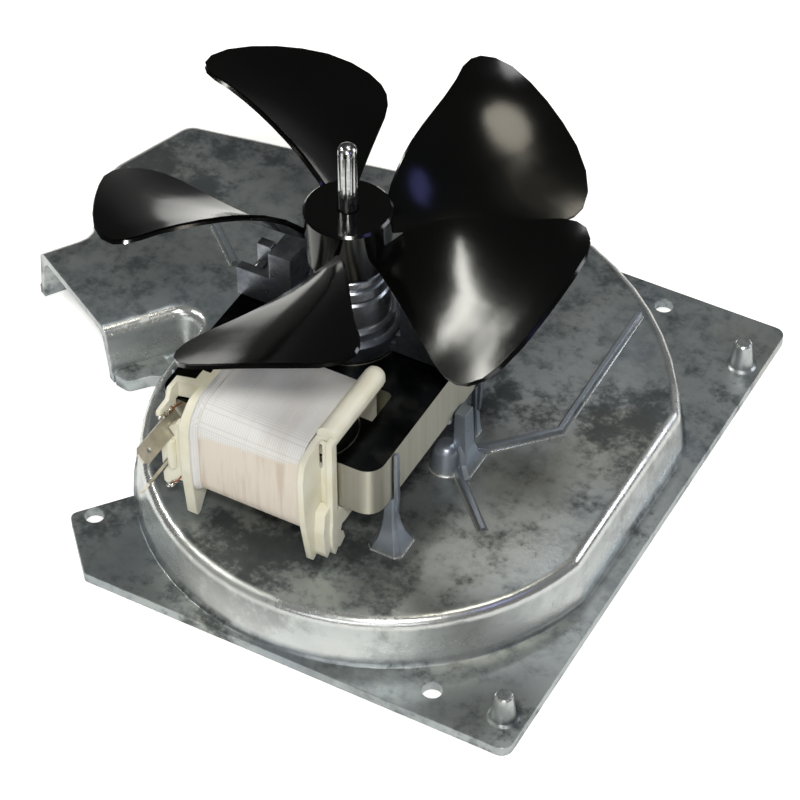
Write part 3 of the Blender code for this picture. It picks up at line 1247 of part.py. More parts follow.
def build():
    clear_scene()
    cast = material("cast_aluminium", "#8B9093", 0.42, 1.0)
    zinc = material("cast_zinc", "#7C828A", 0.38, 1.0)
    sheet = material("electrical_steel", "#9A9B8E", 0.35, 1.0)
    cream = material("cream_polyamide", "#DEDCC0", 0.45)
    tape = material("glass_cloth_tape", "#D9D3C8", 0.7)
    copper = material("enamelled_copper", "#B4622C", 0.35, 1.0)
    bronze = material("sintered_bronze", "#A9855A", 0.5, 1.0)
    steel = material("ground_steel", "#C9CBCC", 0.22, 1.0)
    tinned = material("tinned_brass", "#B0A898", 0.4, 1.0)
    black = material("black_polyamide", "#0C0D0C", 0.4)
    fibre = material("fibre_washer", "#8A7A5E", 0.7)

    axis = bpy.data.objects.new("motor_axis", None)
    bpy.context.collection.objects.link(axis)
    axis.location = MOTOR_AXIS
    spin = bpy.data.objects.new("rotor_axis", None)
    bpy.context.collection.objects.link(spin)
    spin.parent = axis

    housing(cast, axis)
    lamination_frame(sheet, axis)
    coil_core(sheet, axis)
    coil_bobbin(cream, axis)
    coil_winding(copper, axis)
    coil_tape(tape, axis)
    terminal("terminal_upper", "upper", tinned, axis)
    terminal("terminal_lower", "lower", tinned, axis)
    shading_ring("shading_ring_right", 1, copper, axis)
    shading_ring("shading_ring_left", -1, copper, axis)
    bridge_upper(zinc, axis)
    bearing_cap(zinc, axis)
    bush("bearing_bush_upper", CAN_TOP - BUSH_TALL + SEAT_GAP, bronze, axis)
    bridge_lower(zinc, axis)
    bush("bearing_bush_lower", lower_levels()[2] + 1.2 * mm + SEAT_GAP, bronze, axis)
    bridge_screw("bridge_screw_right", 1, steel, axis)
    bridge_screw("bridge_screw_left", -1, steel, axis)
    rotor_shaft(steel, spin)
    rotor_core(sheet, spin)
    thrust_washer("thrust_washer_upper", STACK_TOP + CAGE_RING + SEAT_GAP, fibre, spin)
    thrust_washer("thrust_washer_lower", STACK_BOTTOM - CAGE_RING - SEAT_GAP - WASHER_THICK, fibre, spin)
    cooling_fan(black, spin)
    blower_wheel(black, spin)
    blower_nut(steel, spin)


build()
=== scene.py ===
import bpy
import bmesh
import json
from math import cos, pi, radians, sin
from mathutils import Matrix, Vector, geometry, noise


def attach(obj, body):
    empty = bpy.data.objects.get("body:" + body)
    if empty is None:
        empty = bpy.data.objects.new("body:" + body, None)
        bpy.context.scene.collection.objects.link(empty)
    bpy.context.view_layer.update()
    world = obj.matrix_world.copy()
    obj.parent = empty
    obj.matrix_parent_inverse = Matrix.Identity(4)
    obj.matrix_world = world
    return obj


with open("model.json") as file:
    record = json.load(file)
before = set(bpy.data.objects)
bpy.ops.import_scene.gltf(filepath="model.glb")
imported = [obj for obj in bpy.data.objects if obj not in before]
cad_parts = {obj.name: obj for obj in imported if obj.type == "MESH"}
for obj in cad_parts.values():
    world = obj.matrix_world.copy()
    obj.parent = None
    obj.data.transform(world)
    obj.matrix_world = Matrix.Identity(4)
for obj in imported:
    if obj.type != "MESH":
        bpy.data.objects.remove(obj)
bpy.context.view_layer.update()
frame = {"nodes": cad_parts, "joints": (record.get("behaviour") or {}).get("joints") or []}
print("frame loaded:", len(frame["nodes"]), "nodes")

mm = 0.001
shaftAxis = Vector(frame["joints"][0]["pos_m"]) * Vector((1, 1, 0))  # the motor's axis at the plate's underside


# Helpers

def fromHex(value):
    linear = []
    for k in (1, 3, 5):
        c = int(value[k:k + 2], 16) / 255
        linear.append(c / 12.92 if c <= 0.04045 else ((c + 0.055) / 1.055) ** 2.4)
    return (*linear, 1.0)


def liveOutput(node):
    return next(socket for socket in node.outputs if socket.enabled)


def addNode(tree, kind, settings=None, links=None):
    # a link may be a socket, a node (its first live output) or a plain value
    node = tree.nodes.new(kind)
    for name, value in (settings or {}).items():
        setattr(node, name, value)
    for key, value in (links or {}).items():
        if isinstance(value, bpy.types.Node):
            value = liveOutput(value)
        if isinstance(value, bpy.types.NodeSocket):
            tree.links.new(value, node.inputs[key])
        else:
            node.inputs[key].default_value = value
    return node


def feed(tree, shader, links):
    for key, node in links.items():
        tree.links.new(liveOutput(node), shader.inputs[key])


def newMaterial(name, **sockets):
    made = bpy.data.materials.new(name)
    made.use_nodes = True
    shader = made.node_tree.nodes["Principled BSDF"]
    for key, value in sockets.items():
        shader.inputs[key].default_value = value
    return made, made.node_tree, shader


def perLength(lengthMm):
    return 1000.0 / lengthMm  # texture scale that gives one feature per length, in object space


def turnFrom(across, up, back):
    # the turn that lays a camera's or lamp's own axes along three directions
    return Matrix([[way[k] for way in (across, up, back)] for k in range(3)]).to_4x4()


def addPiece(name, points, faces, surface, body, smooth=40):
    mesh = bpy.data.meshes.new(name)
    bm = bmesh.new()
    made = [bm.verts.new(p) for p in points]
    for face in faces:
        bm.faces.new([made[k] for k in face])
    bmesh.ops.recalc_face_normals(bm, faces=bm.faces)
    bm.to_mesh(mesh)
    bm.free()
    mesh.shade_smooth()
    mesh.set_sharp_from_angle(angle=radians(smooth))
    piece = bpy.data.objects.new(name, mesh)
    bpy.context.collection.objects.link(piece)
    mesh.materials.append(surface)
    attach(piece, body)
    return piece


easedRange = {"interpolation_type": "SMOOTHSTEP"}  # settings of a Map Range node with soft ends
ofColours = {"data_type": "RGBA"}                  # settings of a Mix node for colours, inputs 6 and 7


# Camera, taken from the plate's edges, the holes and the shaft in the photo

cameraFacts = {
    "place": (0.29527924, -0.51053578, 0.60957401),  # from the motor's axis
    "right": (0.87739087, 0.47977242, -0.00192142),
    "up": (-0.33660517, 0.61841554, 0.71011209),
    "ahead": (-0.34188043, 0.6223991, -0.70408602),
    "focal": 139.188,
    "sensor": 36.0,
    "nearest": 0.05,
}


def placeCamera():
    facts = cameraFacts
    lens = bpy.data.cameras.new("photoCamera")
    lens.sensor_width = facts["sensor"]
    lens.lens = facts["focal"]
    lens.clip_start = facts["nearest"]
    camera = bpy.data.objects.new("photoCamera", lens)
    bpy.context.collection.objects.link(camera)
    turn = turnFrom(Vector(facts["right"]), Vector(facts["up"]), -Vector(facts["ahead"]))
    camera.matrix_world = Matrix.Translation(shaftAxis + Vector(facts["place"])) @ turn
    bpy.context.scene.camera = camera


placeCamera()
print("camera placed")


# Floor, sky and lamps

studio = {
    "floor": "#F4F4F1",
    "floorSize": 0.9,
    "floorDropMm": 0.2,        # the floor lies this far below the plate, so the two faces don't flicker
    "floorGlow": 0.48,         # what camera, glossy and transmission rays see on top, so the floor turns white
    "ceiling": 0.05,           # sky overhead, dark as the room that the black blades mirror in the photo
    "skyline": 0.12,           # sky near the horizon
    "horizon": (-0.10, 0.25),  # sine of the elevations between which the sky goes from the skyline to the ceiling
    "aimHeight": 0.085,        # the lamps point at the shaft, this high up
    "lamps": (
        # name, colour, direction and distance from the aim, long side's direction, long side, short side, watts
        ("overheadSoftbox", "#FFF8E6", (0.20, 0.17, 0.965), 1.00, (0.51, 0.86, 0.0), 0.33, 0.21, 1.25),
        ("leftStripLamp", "#FFFFF6", (-0.68, -0.15, 0.72), 0.90, (0.405, -0.879, 0.25), 0.70, 0.07, 2.9),
        ("rightWindow", "#9AA0FF", (0.73, -0.16, 0.66), 1.00, (0.1, 0.97, 0.0), 0.30, 0.13, 0.20),
        ("frontKey", "#FFFDF8", (0.32, -0.55, 0.77), 1.20, (1.0, 0.5, 0.0), 0.20, 0.14, 8.0),
        ("frontFill", "#FFFFFF", (0.26, -0.86, 0.32), 1.50, (1.0, 0.3, 0.0), 1.40, 0.55, 4.0),
        ("rightBackFill", "#F4F8FF", (0.66, 0.62, 0.42), 1.30, (-0.68, 0.73, 0.0), 0.60, 0.40, 3.0),
        ("backSoftbox", "#FFFFFF", (-0.15, 0.47, 0.87), 1.00, (-0.35, 0.9, 0.0), 0.26, 0.20, 0.9),
    ),
}


def buildSky():
    # white where the camera looks straight or through something at it, a dim room to every other ray
    world = bpy.data.worlds.new("studioSky")
    bpy.context.scene.world = world
    world.use_nodes = True
    tree = world.node_tree
    background = tree.nodes["Background"]
    toSky = addNode(tree, "ShaderNodeTexCoord").outputs["Generated"]
    height = addNode(tree, "ShaderNodeSeparateXYZ", None, {0: toSky}).outputs["Z"]
    low, high = studio["horizon"]
    room = addNode(tree, "ShaderNodeMapRange", easedRange,
                   {"Value": height, "From Min": low, "From Max": high,
                    "To Min": studio["skyline"], "To Max": studio["ceiling"]})
    path = addNode(tree, "ShaderNodeLightPath")
    seen = addNode(tree, "ShaderNodeMath", {"operation": "MAXIMUM"},
                   {0: path.outputs["Is Camera Ray"], 1: path.outputs["Is Transmission Ray"]})
    strength = addNode(tree, "ShaderNodeMath", {"operation": "MAXIMUM"}, {0: seen, 1: room})
    feed(tree, background, {"Strength": strength})
    background.inputs["Color"].default_value = (1, 1, 1, 1)


def buildFloor():
    # Paper backdrop, matt: it takes the soft shadow and glows white to the rays that show it
    made, tree, shader = newMaterial("paleStudioFloor", Roughness=0.9)
    shader.inputs["Base Color"].default_value = fromHex(studio["floor"])
    shader.inputs["Specular IOR Level"].default_value = 0.1
    shader.inputs["Emission Color"].default_value = (1, 1, 1, 1)
    path = addNode(tree, "ShaderNodeLightPath")
    seen = addNode(tree, "ShaderNodeMath", {"operation": "MAXIMUM"},
                   {0: path.outputs["Is Camera Ray"], 1: path.outputs["Is Glossy Ray"]})
    seen = addNode(tree, "ShaderNodeMath", {"operation": "MAXIMUM"}, {0: seen, 1: path.outputs["Is Transmission Ray"]})
    glow = addNode(tree, "ShaderNodeMath", {"operation": "MULTIPLY"}, {0: seen, 1: studio["floorGlow"]})
    feed(tree, shader, {"Emission Strength": glow})
    half = studio["floorSize"] / 2
    corners = [(x * half, y * half, 0) for x, y in ((-1, -1), (1, -1), (1, 1), (-1, 1))]
    mesh = bpy.data.meshes.new("studioFloor")
    mesh.from_pydata(corners, [], [(0, 1, 2, 3)])
    floor = bpy.data.objects.new("studioFloor", mesh)
    floor.location.z = -studio["floorDropMm"] * mm
    bpy.context.collection.objects.link(floor)
    mesh.materials.append(made)


def hangLamps():
    target = shaftAxis + Vector((0.0, 0.0, studio["aimHeight"]))
    for name, colour, way, distance, along, long, short, watts in studio["lamps"]:
        lamp = bpy.data.lights.new(name, "AREA")
        lamp.shape = "ELLIPSE"
        lamp.size, lamp.size_y = long, short
        lamp.energy = watts
        lamp.color = fromHex(colour)[:3]
        holder = bpy.data.objects.new(name, lamp)
        bpy.context.collection.objects.link(holder)
        back = Vector(way).normalized()
        side = (Vector(along) - Vector(along).dot(back) * back).normalized()
        turn = turnFrom(side, back.cross(side), back)
        holder.matrix_world = Matrix.Translation(target + back * distance) @ turn


bpy.context.scene.view_settings.view_transform = "Standard"
buildSky()
buildFloor()
hangLamps()
print("studio built")


# Materials

castAluminiumLook = {
    "bare": "#A4AAAB", "haze": "#868D8F", "stain": "#3B4143", "tan": "#9C9680", "blue": "#828C99",
    "post": "#949CA8", "paintedHighlight": "#DDDFDD",
    "patchMm": 26.0, "smudgeMm": 7.0, "speckMm": 1.5, "grainMm": 0.5, "tintMm": 48.0, "edgeMm": 0.4,
    "rough": (0.33, 0.52),        # bare metal, oxide
    "polish": 0.11,               # how much smoother the rubbed shoulder is
    "stainLevels": (1.24, 1.58),  # sum of the noises at which oxide begins, and at which it is full
    "roofLean": (0.93, 0.995),    # upward part of the normal: from a rounded shoulder to a flat roof
    "wallLean": (0.05, 0.45),     # and from an upright wall, given little painted highlight, to the shoulder
    "shoulderFromMm": (3.5, 6.0),   # heights between which the shoulder's painted highlight and polish come in
    "rubbedToMm": (18.1, 18.6),   # and fades out
    "postFromMm": (18.3, 20.0),   # heights between which the posts' clean metal comes in
    "places": (  # where stains are fewer (-) or more (+), and under the coil painted shade: from the shaft, reach, how much
        ((62.0, -12.0, 18.0), (14.0, 42.0), -0.13), ((64.0, 34.0, 18.0), (4.0, 27.0), 0.15),
        # the first entry on the next line darkens the roof under the coil as painted shade
        ((15.0, -60.0, 18.0), (10.0, 40.0), 0.22), ((-99.0, 73.0, 18.0), (6.0, 40.0), 0.20),
        ((26.0, -70.0, 3.0), (6.0, 30.0), -0.24), ((38.0, 78.0, 18.0), (4.0, 26.0), 0.12),
    ),
}


def castAluminium():
    # Aluminium, pressure die-cast: satin grey, clouded and specked by dark oxide, with painted shade on the roof under
    # the coil; the drum's shoulder is smoother and painted near-white as a highlight
    look = castAluminiumLook
    made, tree, shader = newMaterial("castAluminium", Metallic=0.78)
    place = addNode(tree, "ShaderNodeTexCoord").outputs["Object"]
    patch = addNode(tree, "ShaderNodeTexNoise", None,
                    {"Vector": place, "Scale": perLength(look["patchMm"]), "Detail": 3.0, "Distortion": 0.6})
    smudge = addNode(tree, "ShaderNodeTexNoise", None,
                     {"Vector": place, "Scale": perLength(look["smudgeMm"]), "Detail": 6.0, "Roughness": 0.66})
    speck = addNode(tree, "ShaderNodeTexNoise", None,
                    {"Vector": place, "Scale": perLength(look["speckMm"]), "Detail": 4.0, "Roughness": 0.6})
    grain = addNode(tree, "ShaderNodeTexNoise", None,
                    {"Vector": place, "Scale": perLength(look["grainMm"]), "Detail": 2.0})
    # oxide: wide patches, smudges and specks added up, then more or less of it in some places; the extra darkening
    # under the coil is painted shade
    field = addNode(tree, "ShaderNodeMath", {"operation": "MULTIPLY_ADD"}, {0: smudge, 1: 1.1, 2: patch})
    field = addNode(tree, "ShaderNodeMath", {"operation": "MULTIPLY_ADD"}, {0: speck, 1: 0.45, 2: field})
    for spot, (near, far), amount in look["places"]:
        away = addNode(tree, "ShaderNodeVectorMath", {"operation": "DISTANCE"},
                       {0: place, 1: shaftAxis + Vector(spot) * mm}).outputs["Value"]
        change = addNode(tree, "ShaderNodeMapRange", easedRange,
                         {"Value": away, "From Min": near * mm, "From Max": far * mm, "To Min": amount, "To Max": 0.0})
        field = addNode(tree, "ShaderNodeMath", {"operation": "ADD"}, {0: field, 1: change})
    # the oxide mask, which also carries the painted shade under the coil
    low, high = look["stainLevels"]
    stained = addNode(tree, "ShaderNodeMapRange", easedRange, {"Value": field, "From Min": low, "From Max": high})
    # where the surface leans: flat roof, rounded shoulder, upright wall
    normal = addNode(tree, "ShaderNodeNewGeometry").outputs["Normal"]
    lean = addNode(tree, "ShaderNodeSeparateXYZ", None, {0: normal}).outputs["Z"]
    height = addNode(tree, "ShaderNodeSeparateXYZ", None, {0: place}).outputs["Z"]
    low, high = look["roofLean"]
    flat = addNode(tree, "ShaderNodeMapRange", easedRange, {"Value": lean, "From Min": low, "From Max": high})
    low, high = look["shoulderFromMm"]
    above = addNode(tree, "ShaderNodeMapRange", easedRange,
                    {"Value": height, "From Min": low * mm, "From Max": high * mm})
    low, high = look["rubbedToMm"]
    below = addNode(tree, "ShaderNodeMapRange", easedRange,
                    {"Value": height, "From Min": high * mm, "From Max": low * mm})
    low, high = look["wallLean"]
    turned = addNode(tree, "ShaderNodeMapRange", easedRange,
                     {"Value": lean, "From Min": low, "From Max": high, "To Min": 0.25, "To Max": 1.0})
    # the shoulder's mask: smoother metal, fewer stains and a painted highlight
    rounded = addNode(tree, "ShaderNodeMath", {"operation": "SUBTRACT"}, {0: 1.0, 1: flat})
    rubbed = addNode(tree, "ShaderNodeMath", {"operation": "MULTIPLY"}, {0: rounded, 1: above})
    rubbed = addNode(tree, "ShaderNodeMath", {"operation": "MULTIPLY"}, {0: rubbed, 1: turned})
    rubbed = addNode(tree, "ShaderNodeMath", {"operation": "MULTIPLY"}, {0: rubbed, 1: below})
    # colour: bare metal under haze, tinted tan and blue, then oxide with the painted shade under the coil, the
    # shoulder's painted highlight and the posts
    haze = addNode(tree, "ShaderNodeMapRange", easedRange, {"Value": smudge, "From Min": 0.38, "From Max": 0.66})
    colour = addNode(tree, "ShaderNodeMix", ofColours, {0: haze, 6: fromHex(look["bare"]), 7: fromHex(look["haze"])})
    tint = addNode(tree, "ShaderNodeTexNoise", None,
                   {"Vector": place, "Scale": perLength(look["tintMm"]), "Detail": 2.0})
    tan = addNode(tree, "ShaderNodeMapRange", easedRange,
                  {"Value": tint, "From Min": 0.52, "From Max": 0.70, "To Max": 0.30})
    blue = addNode(tree, "ShaderNodeMapRange", easedRange,
                   {"Value": tint, "From Min": 0.46, "From Max": 0.34, "To Max": 0.35})
    colour = addNode(tree, "ShaderNodeMix", ofColours, {0: tan, 6: colour, 7: fromHex(look["tan"])})
    colour = addNode(tree, "ShaderNodeMix", ofColours, {0: blue, 6: colour, 7: fromHex(look["blue"])})
    kept = addNode(tree, "ShaderNodeMapRange", None, {"Value": rubbed, "To Min": 0.78, "To Max": 0.35})
    dark = addNode(tree, "ShaderNodeMath", {"operation": "MULTIPLY"}, {0: stained, 1: kept})
    colour = addNode(tree, "ShaderNodeMix", ofColours, {0: dark, 6: colour, 7: fromHex(look["stain"])})
    # painted highlight: the shoulder is lightened towards near-white
    bright = addNode(tree, "ShaderNodeMath", {"operation": "MULTIPLY"}, {0: rubbed, 1: 0.75})
    colour = addNode(tree, "ShaderNodeMix", ofColours, {0: bright, 6: colour, 7: fromHex(look["paintedHighlight"])})
    low, high = look["postFromMm"]
    onPost = addNode(tree, "ShaderNodeMapRange", easedRange,
                     {"Value": height, "From Min": low * mm, "From Max": high * mm, "To Max": 0.85})
    colour = addNode(tree, "ShaderNodeMix", ofColours, {0: onPost, 6: colour, 7: fromHex(look["post"])})
    low, high = look["rough"]
    rough = addNode(tree, "ShaderNodeMapRange", None, {"Value": stained, "To Min": low, "To Max": high})
    polish = addNode(tree, "ShaderNodeMath", {"operation": "MULTIPLY"}, {0: rubbed, 1: look["polish"]})
    rough = addNode(tree, "ShaderNodeMath", {"operation": "SUBTRACT"}, {0: rough, 1: polish})
    relief = addNode(tree, "ShaderNodeMath", {"operation": "MULTIPLY_ADD"}, {0: grain, 1: 0.30, 2: speck})
    relief = addNode(tree, "ShaderNodeMath", {"operation": "MULTIPLY_ADD"}, {0: smudge, 1: 1.6, 2: relief})
    edge = addNode(tree, "ShaderNodeBevel", {"samples": 4}, {"Radius": look["edgeMm"] * mm})
    bump = addNode(tree, "ShaderNodeBump", None,
                   {"Strength": 0.20, "Distance": 0.0002, "Height": relief, "Normal": edge})
    feed(tree, shader, {"Base Color": colour, "Roughness": rough, "Normal": bump})
    return made


castZincLook = {
    "bare": "#94989E", "shade": "#5D626B",
    "cloudMm": 6.0, "grainMm": 0.6, "edgeMm": 0.4,
    "rough": (0.27, 0.42),  # bare, shaded
}


def castZinc():
    # Zinc alloy, die-cast and tumbled: blue-grey satin, a little brighter on its edges
    look = castZincLook
    made, tree, shader = newMaterial("castZinc", Metallic=0.95)
    place = addNode(tree, "ShaderNodeTexCoord").outputs["Object"]
    cloud = addNode(tree, "ShaderNodeTexNoise", None,
                    {"Vector": place, "Scale": perLength(look["cloudMm"]), "Detail": 4.0})
    grain = addNode(tree, "ShaderNodeTexNoise", None,
                    {"Vector": place, "Scale": perLength(look["grainMm"]), "Detail": 2.0})
    mixed = addNode(tree, "ShaderNodeMapRange", easedRange, {"Value": cloud, "From Min": 0.34, "From Max": 0.64})
    colour = addNode(tree, "ShaderNodeMix", ofColours,
                     {0: mixed, 6: fromHex(look["bare"]), 7: fromHex(look["shade"])})
    low, high = look["rough"]
    rough = addNode(tree, "ShaderNodeMapRange", None, {"Value": mixed, "To Min": low, "To Max": high})
    edge = addNode(tree, "ShaderNodeBevel", {"samples": 4}, {"Radius": look["edgeMm"] * mm})
    bump = addNode(tree, "ShaderNodeBump", None, {"Strength": 0.2, "Distance": 0.0001, "Height": grain, "Normal": edge})
    feed(tree, shader, {"Base Color": colour, "Roughness": rough, "Normal": bump})
    return made


stackLook = {
    "top": "#1B1D1E", "topClouded": "#3C3D38", "side": "#A9A79A", "streak": "#9E9C8F",
    "sheetMm": 0.65, "streakMm": 2.2, "cloudMm": 8.0,
    "rough": (0.48, 0.24),  # cut edges, flat
    "spread": 0.9,          # how far the cut edges stretch a highlight
    "spreadTurn": 0.25,     # a quarter turn: up and down instead of around
}


def electricalSteel():
    # Silicon steel, blanked and stacked in sheets: the flat faces painted almost black as a reflection of the dark fan
    # above, bare beige-grey on the cut edges
    look = stackLook
    made, tree, shader = newMaterial("electricalSteel", Metallic=1.0)
    place = addNode(tree, "ShaderNodeTexCoord").outputs["Object"]
    height = addNode(tree, "ShaderNodeSeparateXYZ", None, {0: place}).outputs["Z"]
    normal = addNode(tree, "ShaderNodeNewGeometry").outputs["Normal"]
    lean = addNode(tree, "ShaderNodeSeparateXYZ", None, {0: normal}).outputs["Z"]
    lean = addNode(tree, "ShaderNodeMath", {"operation": "ABSOLUTE"}, {0: lean})
    flat = addNode(tree, "ShaderNodeMapRange", easedRange, {"Value": lean, "From Min": 0.5, "From Max": 0.9})
    turns = addNode(tree, "ShaderNodeMath", {"operation": "MULTIPLY"},
                    {0: height, 1: 2 * pi * perLength(look["sheetMm"])})
    sheets = addNode(tree, "ShaderNodeMath", {"operation": "SINE"}, {0: turns})
    along = addNode(tree, "ShaderNodeVectorMath", {"operation": "MULTIPLY"}, {0: place, 1: (1.0, 1.0, 0.05)})
    streak = addNode(tree, "ShaderNodeTexNoise", None,
                     {"Vector": along, "Scale": perLength(look["streakMm"]), "Detail": 4.0})
    cloud = addNode(tree, "ShaderNodeTexNoise", None,
                    {"Vector": place, "Scale": perLength(look["cloudMm"]), "Detail": 5.0, "Roughness": 0.6})
    streaked = addNode(tree, "ShaderNodeMapRange", easedRange, {"Value": streak, "From Min": 0.30, "From Max": 0.75})
    side = addNode(tree, "ShaderNodeMix", ofColours,
                   {0: streaked, 6: fromHex(look["side"]), 7: fromHex(look["streak"])})
    clouded = addNode(tree, "ShaderNodeMapRange", easedRange, {"Value": cloud, "From Min": 0.45, "From Max": 0.72})
    # painted reflection: the flat faces near-black as if mirroring the fan, clouded a little lighter
    top = addNode(tree, "ShaderNodeMix", ofColours,
                  {0: clouded, 6: fromHex(look["top"]), 7: fromHex(look["topClouded"])})
    colour = addNode(tree, "ShaderNodeMix", ofColours, {0: flat, 6: side, 7: top})
    low, high = look["rough"]
    rough = addNode(tree, "ShaderNodeMapRange", None, {"Value": flat, "To Min": low, "To Max": high})
    upright = addNode(tree, "ShaderNodeMath", {"operation": "SUBTRACT"}, {0: 1.0, 1: flat})
    # the sheets' edges spread light up and down, so the rounded corner shows one upright streak
    spread = addNode(tree, "ShaderNodeMath", {"operation": "MULTIPLY"}, {0: upright, 1: look["spread"]})
    around = addNode(tree, "ShaderNodeTangent", {"direction_type": "RADIAL", "axis": "Z"})
    shader.inputs["Anisotropic Rotation"].default_value = look["spreadTurn"]
    relief = addNode(tree, "ShaderNodeMath", {"operation": "MULTIPLY"}, {0: sheets, 1: upright})
    bump = addNode(tree, "ShaderNodeBump", None, {"Strength": 0.03, "Distance": 0.0001, "Height": relief})
    feed(tree, shader, {"Base Color": colour, "Roughness": rough, "Normal": bump, "Anisotropic": spread,
                        "Tangent": around})
    return made


creamLook = {"light": "#EBE9DA", "aged": "#E1DDC6", "cloudMm": 12.0, "grainMm": 0.9, "edgeMm": 0.5, "depthMm": 1.5}


def creamPolyamide():
    # Polyamide, injection-moulded: cream, faintly yellowed, satin, light goes a little way in at thin edges
    look = creamLook
    made, tree, shader = newMaterial("creamPolyamide", Roughness=0.40, IOR=1.53)
    shader.inputs["Subsurface Weight"].default_value = 0.15
    shader.inputs["Subsurface Radius"].default_value = (1.0, 0.8, 0.5)
    shader.inputs["Subsurface Scale"].default_value = look["depthMm"] * mm
    place = addNode(tree, "ShaderNodeTexCoord").outputs["Object"]
    cloud = addNode(tree, "ShaderNodeTexNoise", None,
                    {"Vector": place, "Scale": perLength(look["cloudMm"]), "Detail": 3.0})
    grain = addNode(tree, "ShaderNodeTexNoise", None,
                    {"Vector": place, "Scale": perLength(look["grainMm"]), "Detail": 2.0})
    aged = addNode(tree, "ShaderNodeMapRange", easedRange, {"Value": cloud, "From Min": 0.35, "From Max": 0.70})
    colour = addNode(tree, "ShaderNodeMix", ofColours, {0: aged, 6: fromHex(look["light"]), 7: fromHex(look["aged"])})
    edge = addNode(tree, "ShaderNodeBevel", {"samples": 4}, {"Radius": look["edgeMm"] * mm})
    bump = addNode(tree, "ShaderNodeBump", None,
                   {"Strength": 0.08, "Distance": 0.0001, "Height": grain, "Normal": edge})
    feed(tree, shader, {"Base Color": colour, "Normal": bump})
    return made


tapeLook = {
    "upper": "#EAEAE9", "lower": "#E6DDD1", "crease": "#BFA894", "thread": "#A8A097",
    "threadMm": 0.66,          # spacing of the weave, drawn a little coarse so that it shows
    "creaseMm": 3.2,
    "wrapMm": 50.8,            # height of the second layer's lower edge
    "wrapFadeMm": (0.6, 2.4),  # how far above that height the white comes in
    "wrapSlope": 0.12,         # the edge climbs to the right
    "wrapWanderMm": 3.0,       # and wanders with the creases
}


def glassClothTape(name, wrapMm):
    # Glass cloth, plain weave, varnished: white where it lies double, pinkish and creased where copper shows through;
    # the creases darkened partly by the copper and partly as painted shade
    look = tapeLook
    made, tree, shader = newMaterial(name, Roughness=0.46)
    place = addNode(tree, "ShaderNodeTexCoord").outputs["Object"]
    parts = addNode(tree, "ShaderNodeSeparateXYZ", None, {0: place})
    turn = 2 * pi * perLength(look["threadMm"])
    across = addNode(tree, "ShaderNodeMath", {"operation": "MULTIPLY"}, {0: parts.outputs["X"], 1: turn})
    warp = addNode(tree, "ShaderNodeMath", {"operation": "COSINE"}, {0: across})
    around = addNode(tree, "ShaderNodeMath", {"operation": "SUBTRACT"}, {0: parts.outputs["Z"], 1: parts.outputs["Y"]})
    around = addNode(tree, "ShaderNodeMath", {"operation": "MULTIPLY"}, {0: around, 1: turn})
    weft = addNode(tree, "ShaderNodeMath", {"operation": "COSINE"}, {0: around})
    gaps = addNode(tree, "ShaderNodeMath", {"operation": "MAXIMUM"}, {0: warp, 1: weft})
    tall = addNode(tree, "ShaderNodeVectorMath", {"operation": "MULTIPLY"}, {0: place, 1: (1.0, 0.14, 0.09)})
    crease = addNode(tree, "ShaderNodeTexNoise", None,
                     {"Vector": tall, "Scale": perLength(look["creaseMm"]), "Detail": 3.0})
    # the second layer's edge: a height that climbs to the right and wanders with the creases
    level = addNode(tree, "ShaderNodeMath", {"operation": "MULTIPLY_ADD"},
                    {0: parts.outputs["X"], 1: -look["wrapSlope"], 2: parts.outputs["Z"]})
    level = addNode(tree, "ShaderNodeMath", {"operation": "MULTIPLY_ADD"},
                    {0: crease, 1: look["wrapWanderMm"] * mm, 2: level})
    low, high = look["wrapFadeMm"]
    double = addNode(tree, "ShaderNodeMapRange", easedRange,
                     {"Value": level, "From Min": (wrapMm + low) * mm, "From Max": (wrapMm + high) * mm})
    colour = addNode(tree, "ShaderNodeMix", ofColours,
                     {0: double, 6: fromHex(look["lower"]), 7: fromHex(look["upper"])})
    # the creases: darker where copper shows through, and as painted shade in the folds
    creaseTintAndShade = addNode(tree, "ShaderNodeMapRange", easedRange,
                     {"Value": crease, "From Min": 0.45, "From Max": 0.68, "To Max": 0.55})
    loose = addNode(tree, "ShaderNodeMapRange", None, {"Value": double, "To Min": 1.0, "To Max": 0.25})
    creaseTintAndShade = addNode(tree, "ShaderNodeMath", {"operation": "MULTIPLY"}, {0: creaseTintAndShade, 1: loose})
    colour = addNode(tree, "ShaderNodeMix", ofColours, {0: creaseTintAndShade, 6: colour, 7: fromHex(look["crease"])})
    deep = addNode(tree, "ShaderNodeMapRange", None, {"Value": double, "To Min": 0.14, "To Max": 0.27})
    between = addNode(tree, "ShaderNodeMapRange", easedRange,
                      {"Value": gaps, "From Min": 0.30, "From Max": 1.0, "To Max": deep})
    colour = addNode(tree, "ShaderNodeMix", ofColours, {0: between, 6: colour, 7: fromHex(look["thread"])})
    relief = addNode(tree, "ShaderNodeMath", {"operation": "MULTIPLY"}, {0: gaps, 1: -0.25})
    relief = addNode(tree, "ShaderNodeMath", {"operation": "MULTIPLY_ADD"}, {0: crease, 1: 3.0, 2: relief})
    relief = addNode(tree, "ShaderNodeMath", {"operation": "MULTIPLY_ADD"}, {0: double, 1: 1.1, 2: relief})
    bump = addNode(tree, "ShaderNodeBump", None, {"Strength": 0.40, "Distance": 0.0002, "Height": relief})
    feed(tree, shader, {"Base Color": colour, "Normal": bump})
    return made


copperLook = {"bright": "#B4622C", "dark": "#8E4A22", "cloudMm": 3.0, "turnMm": 0.5}


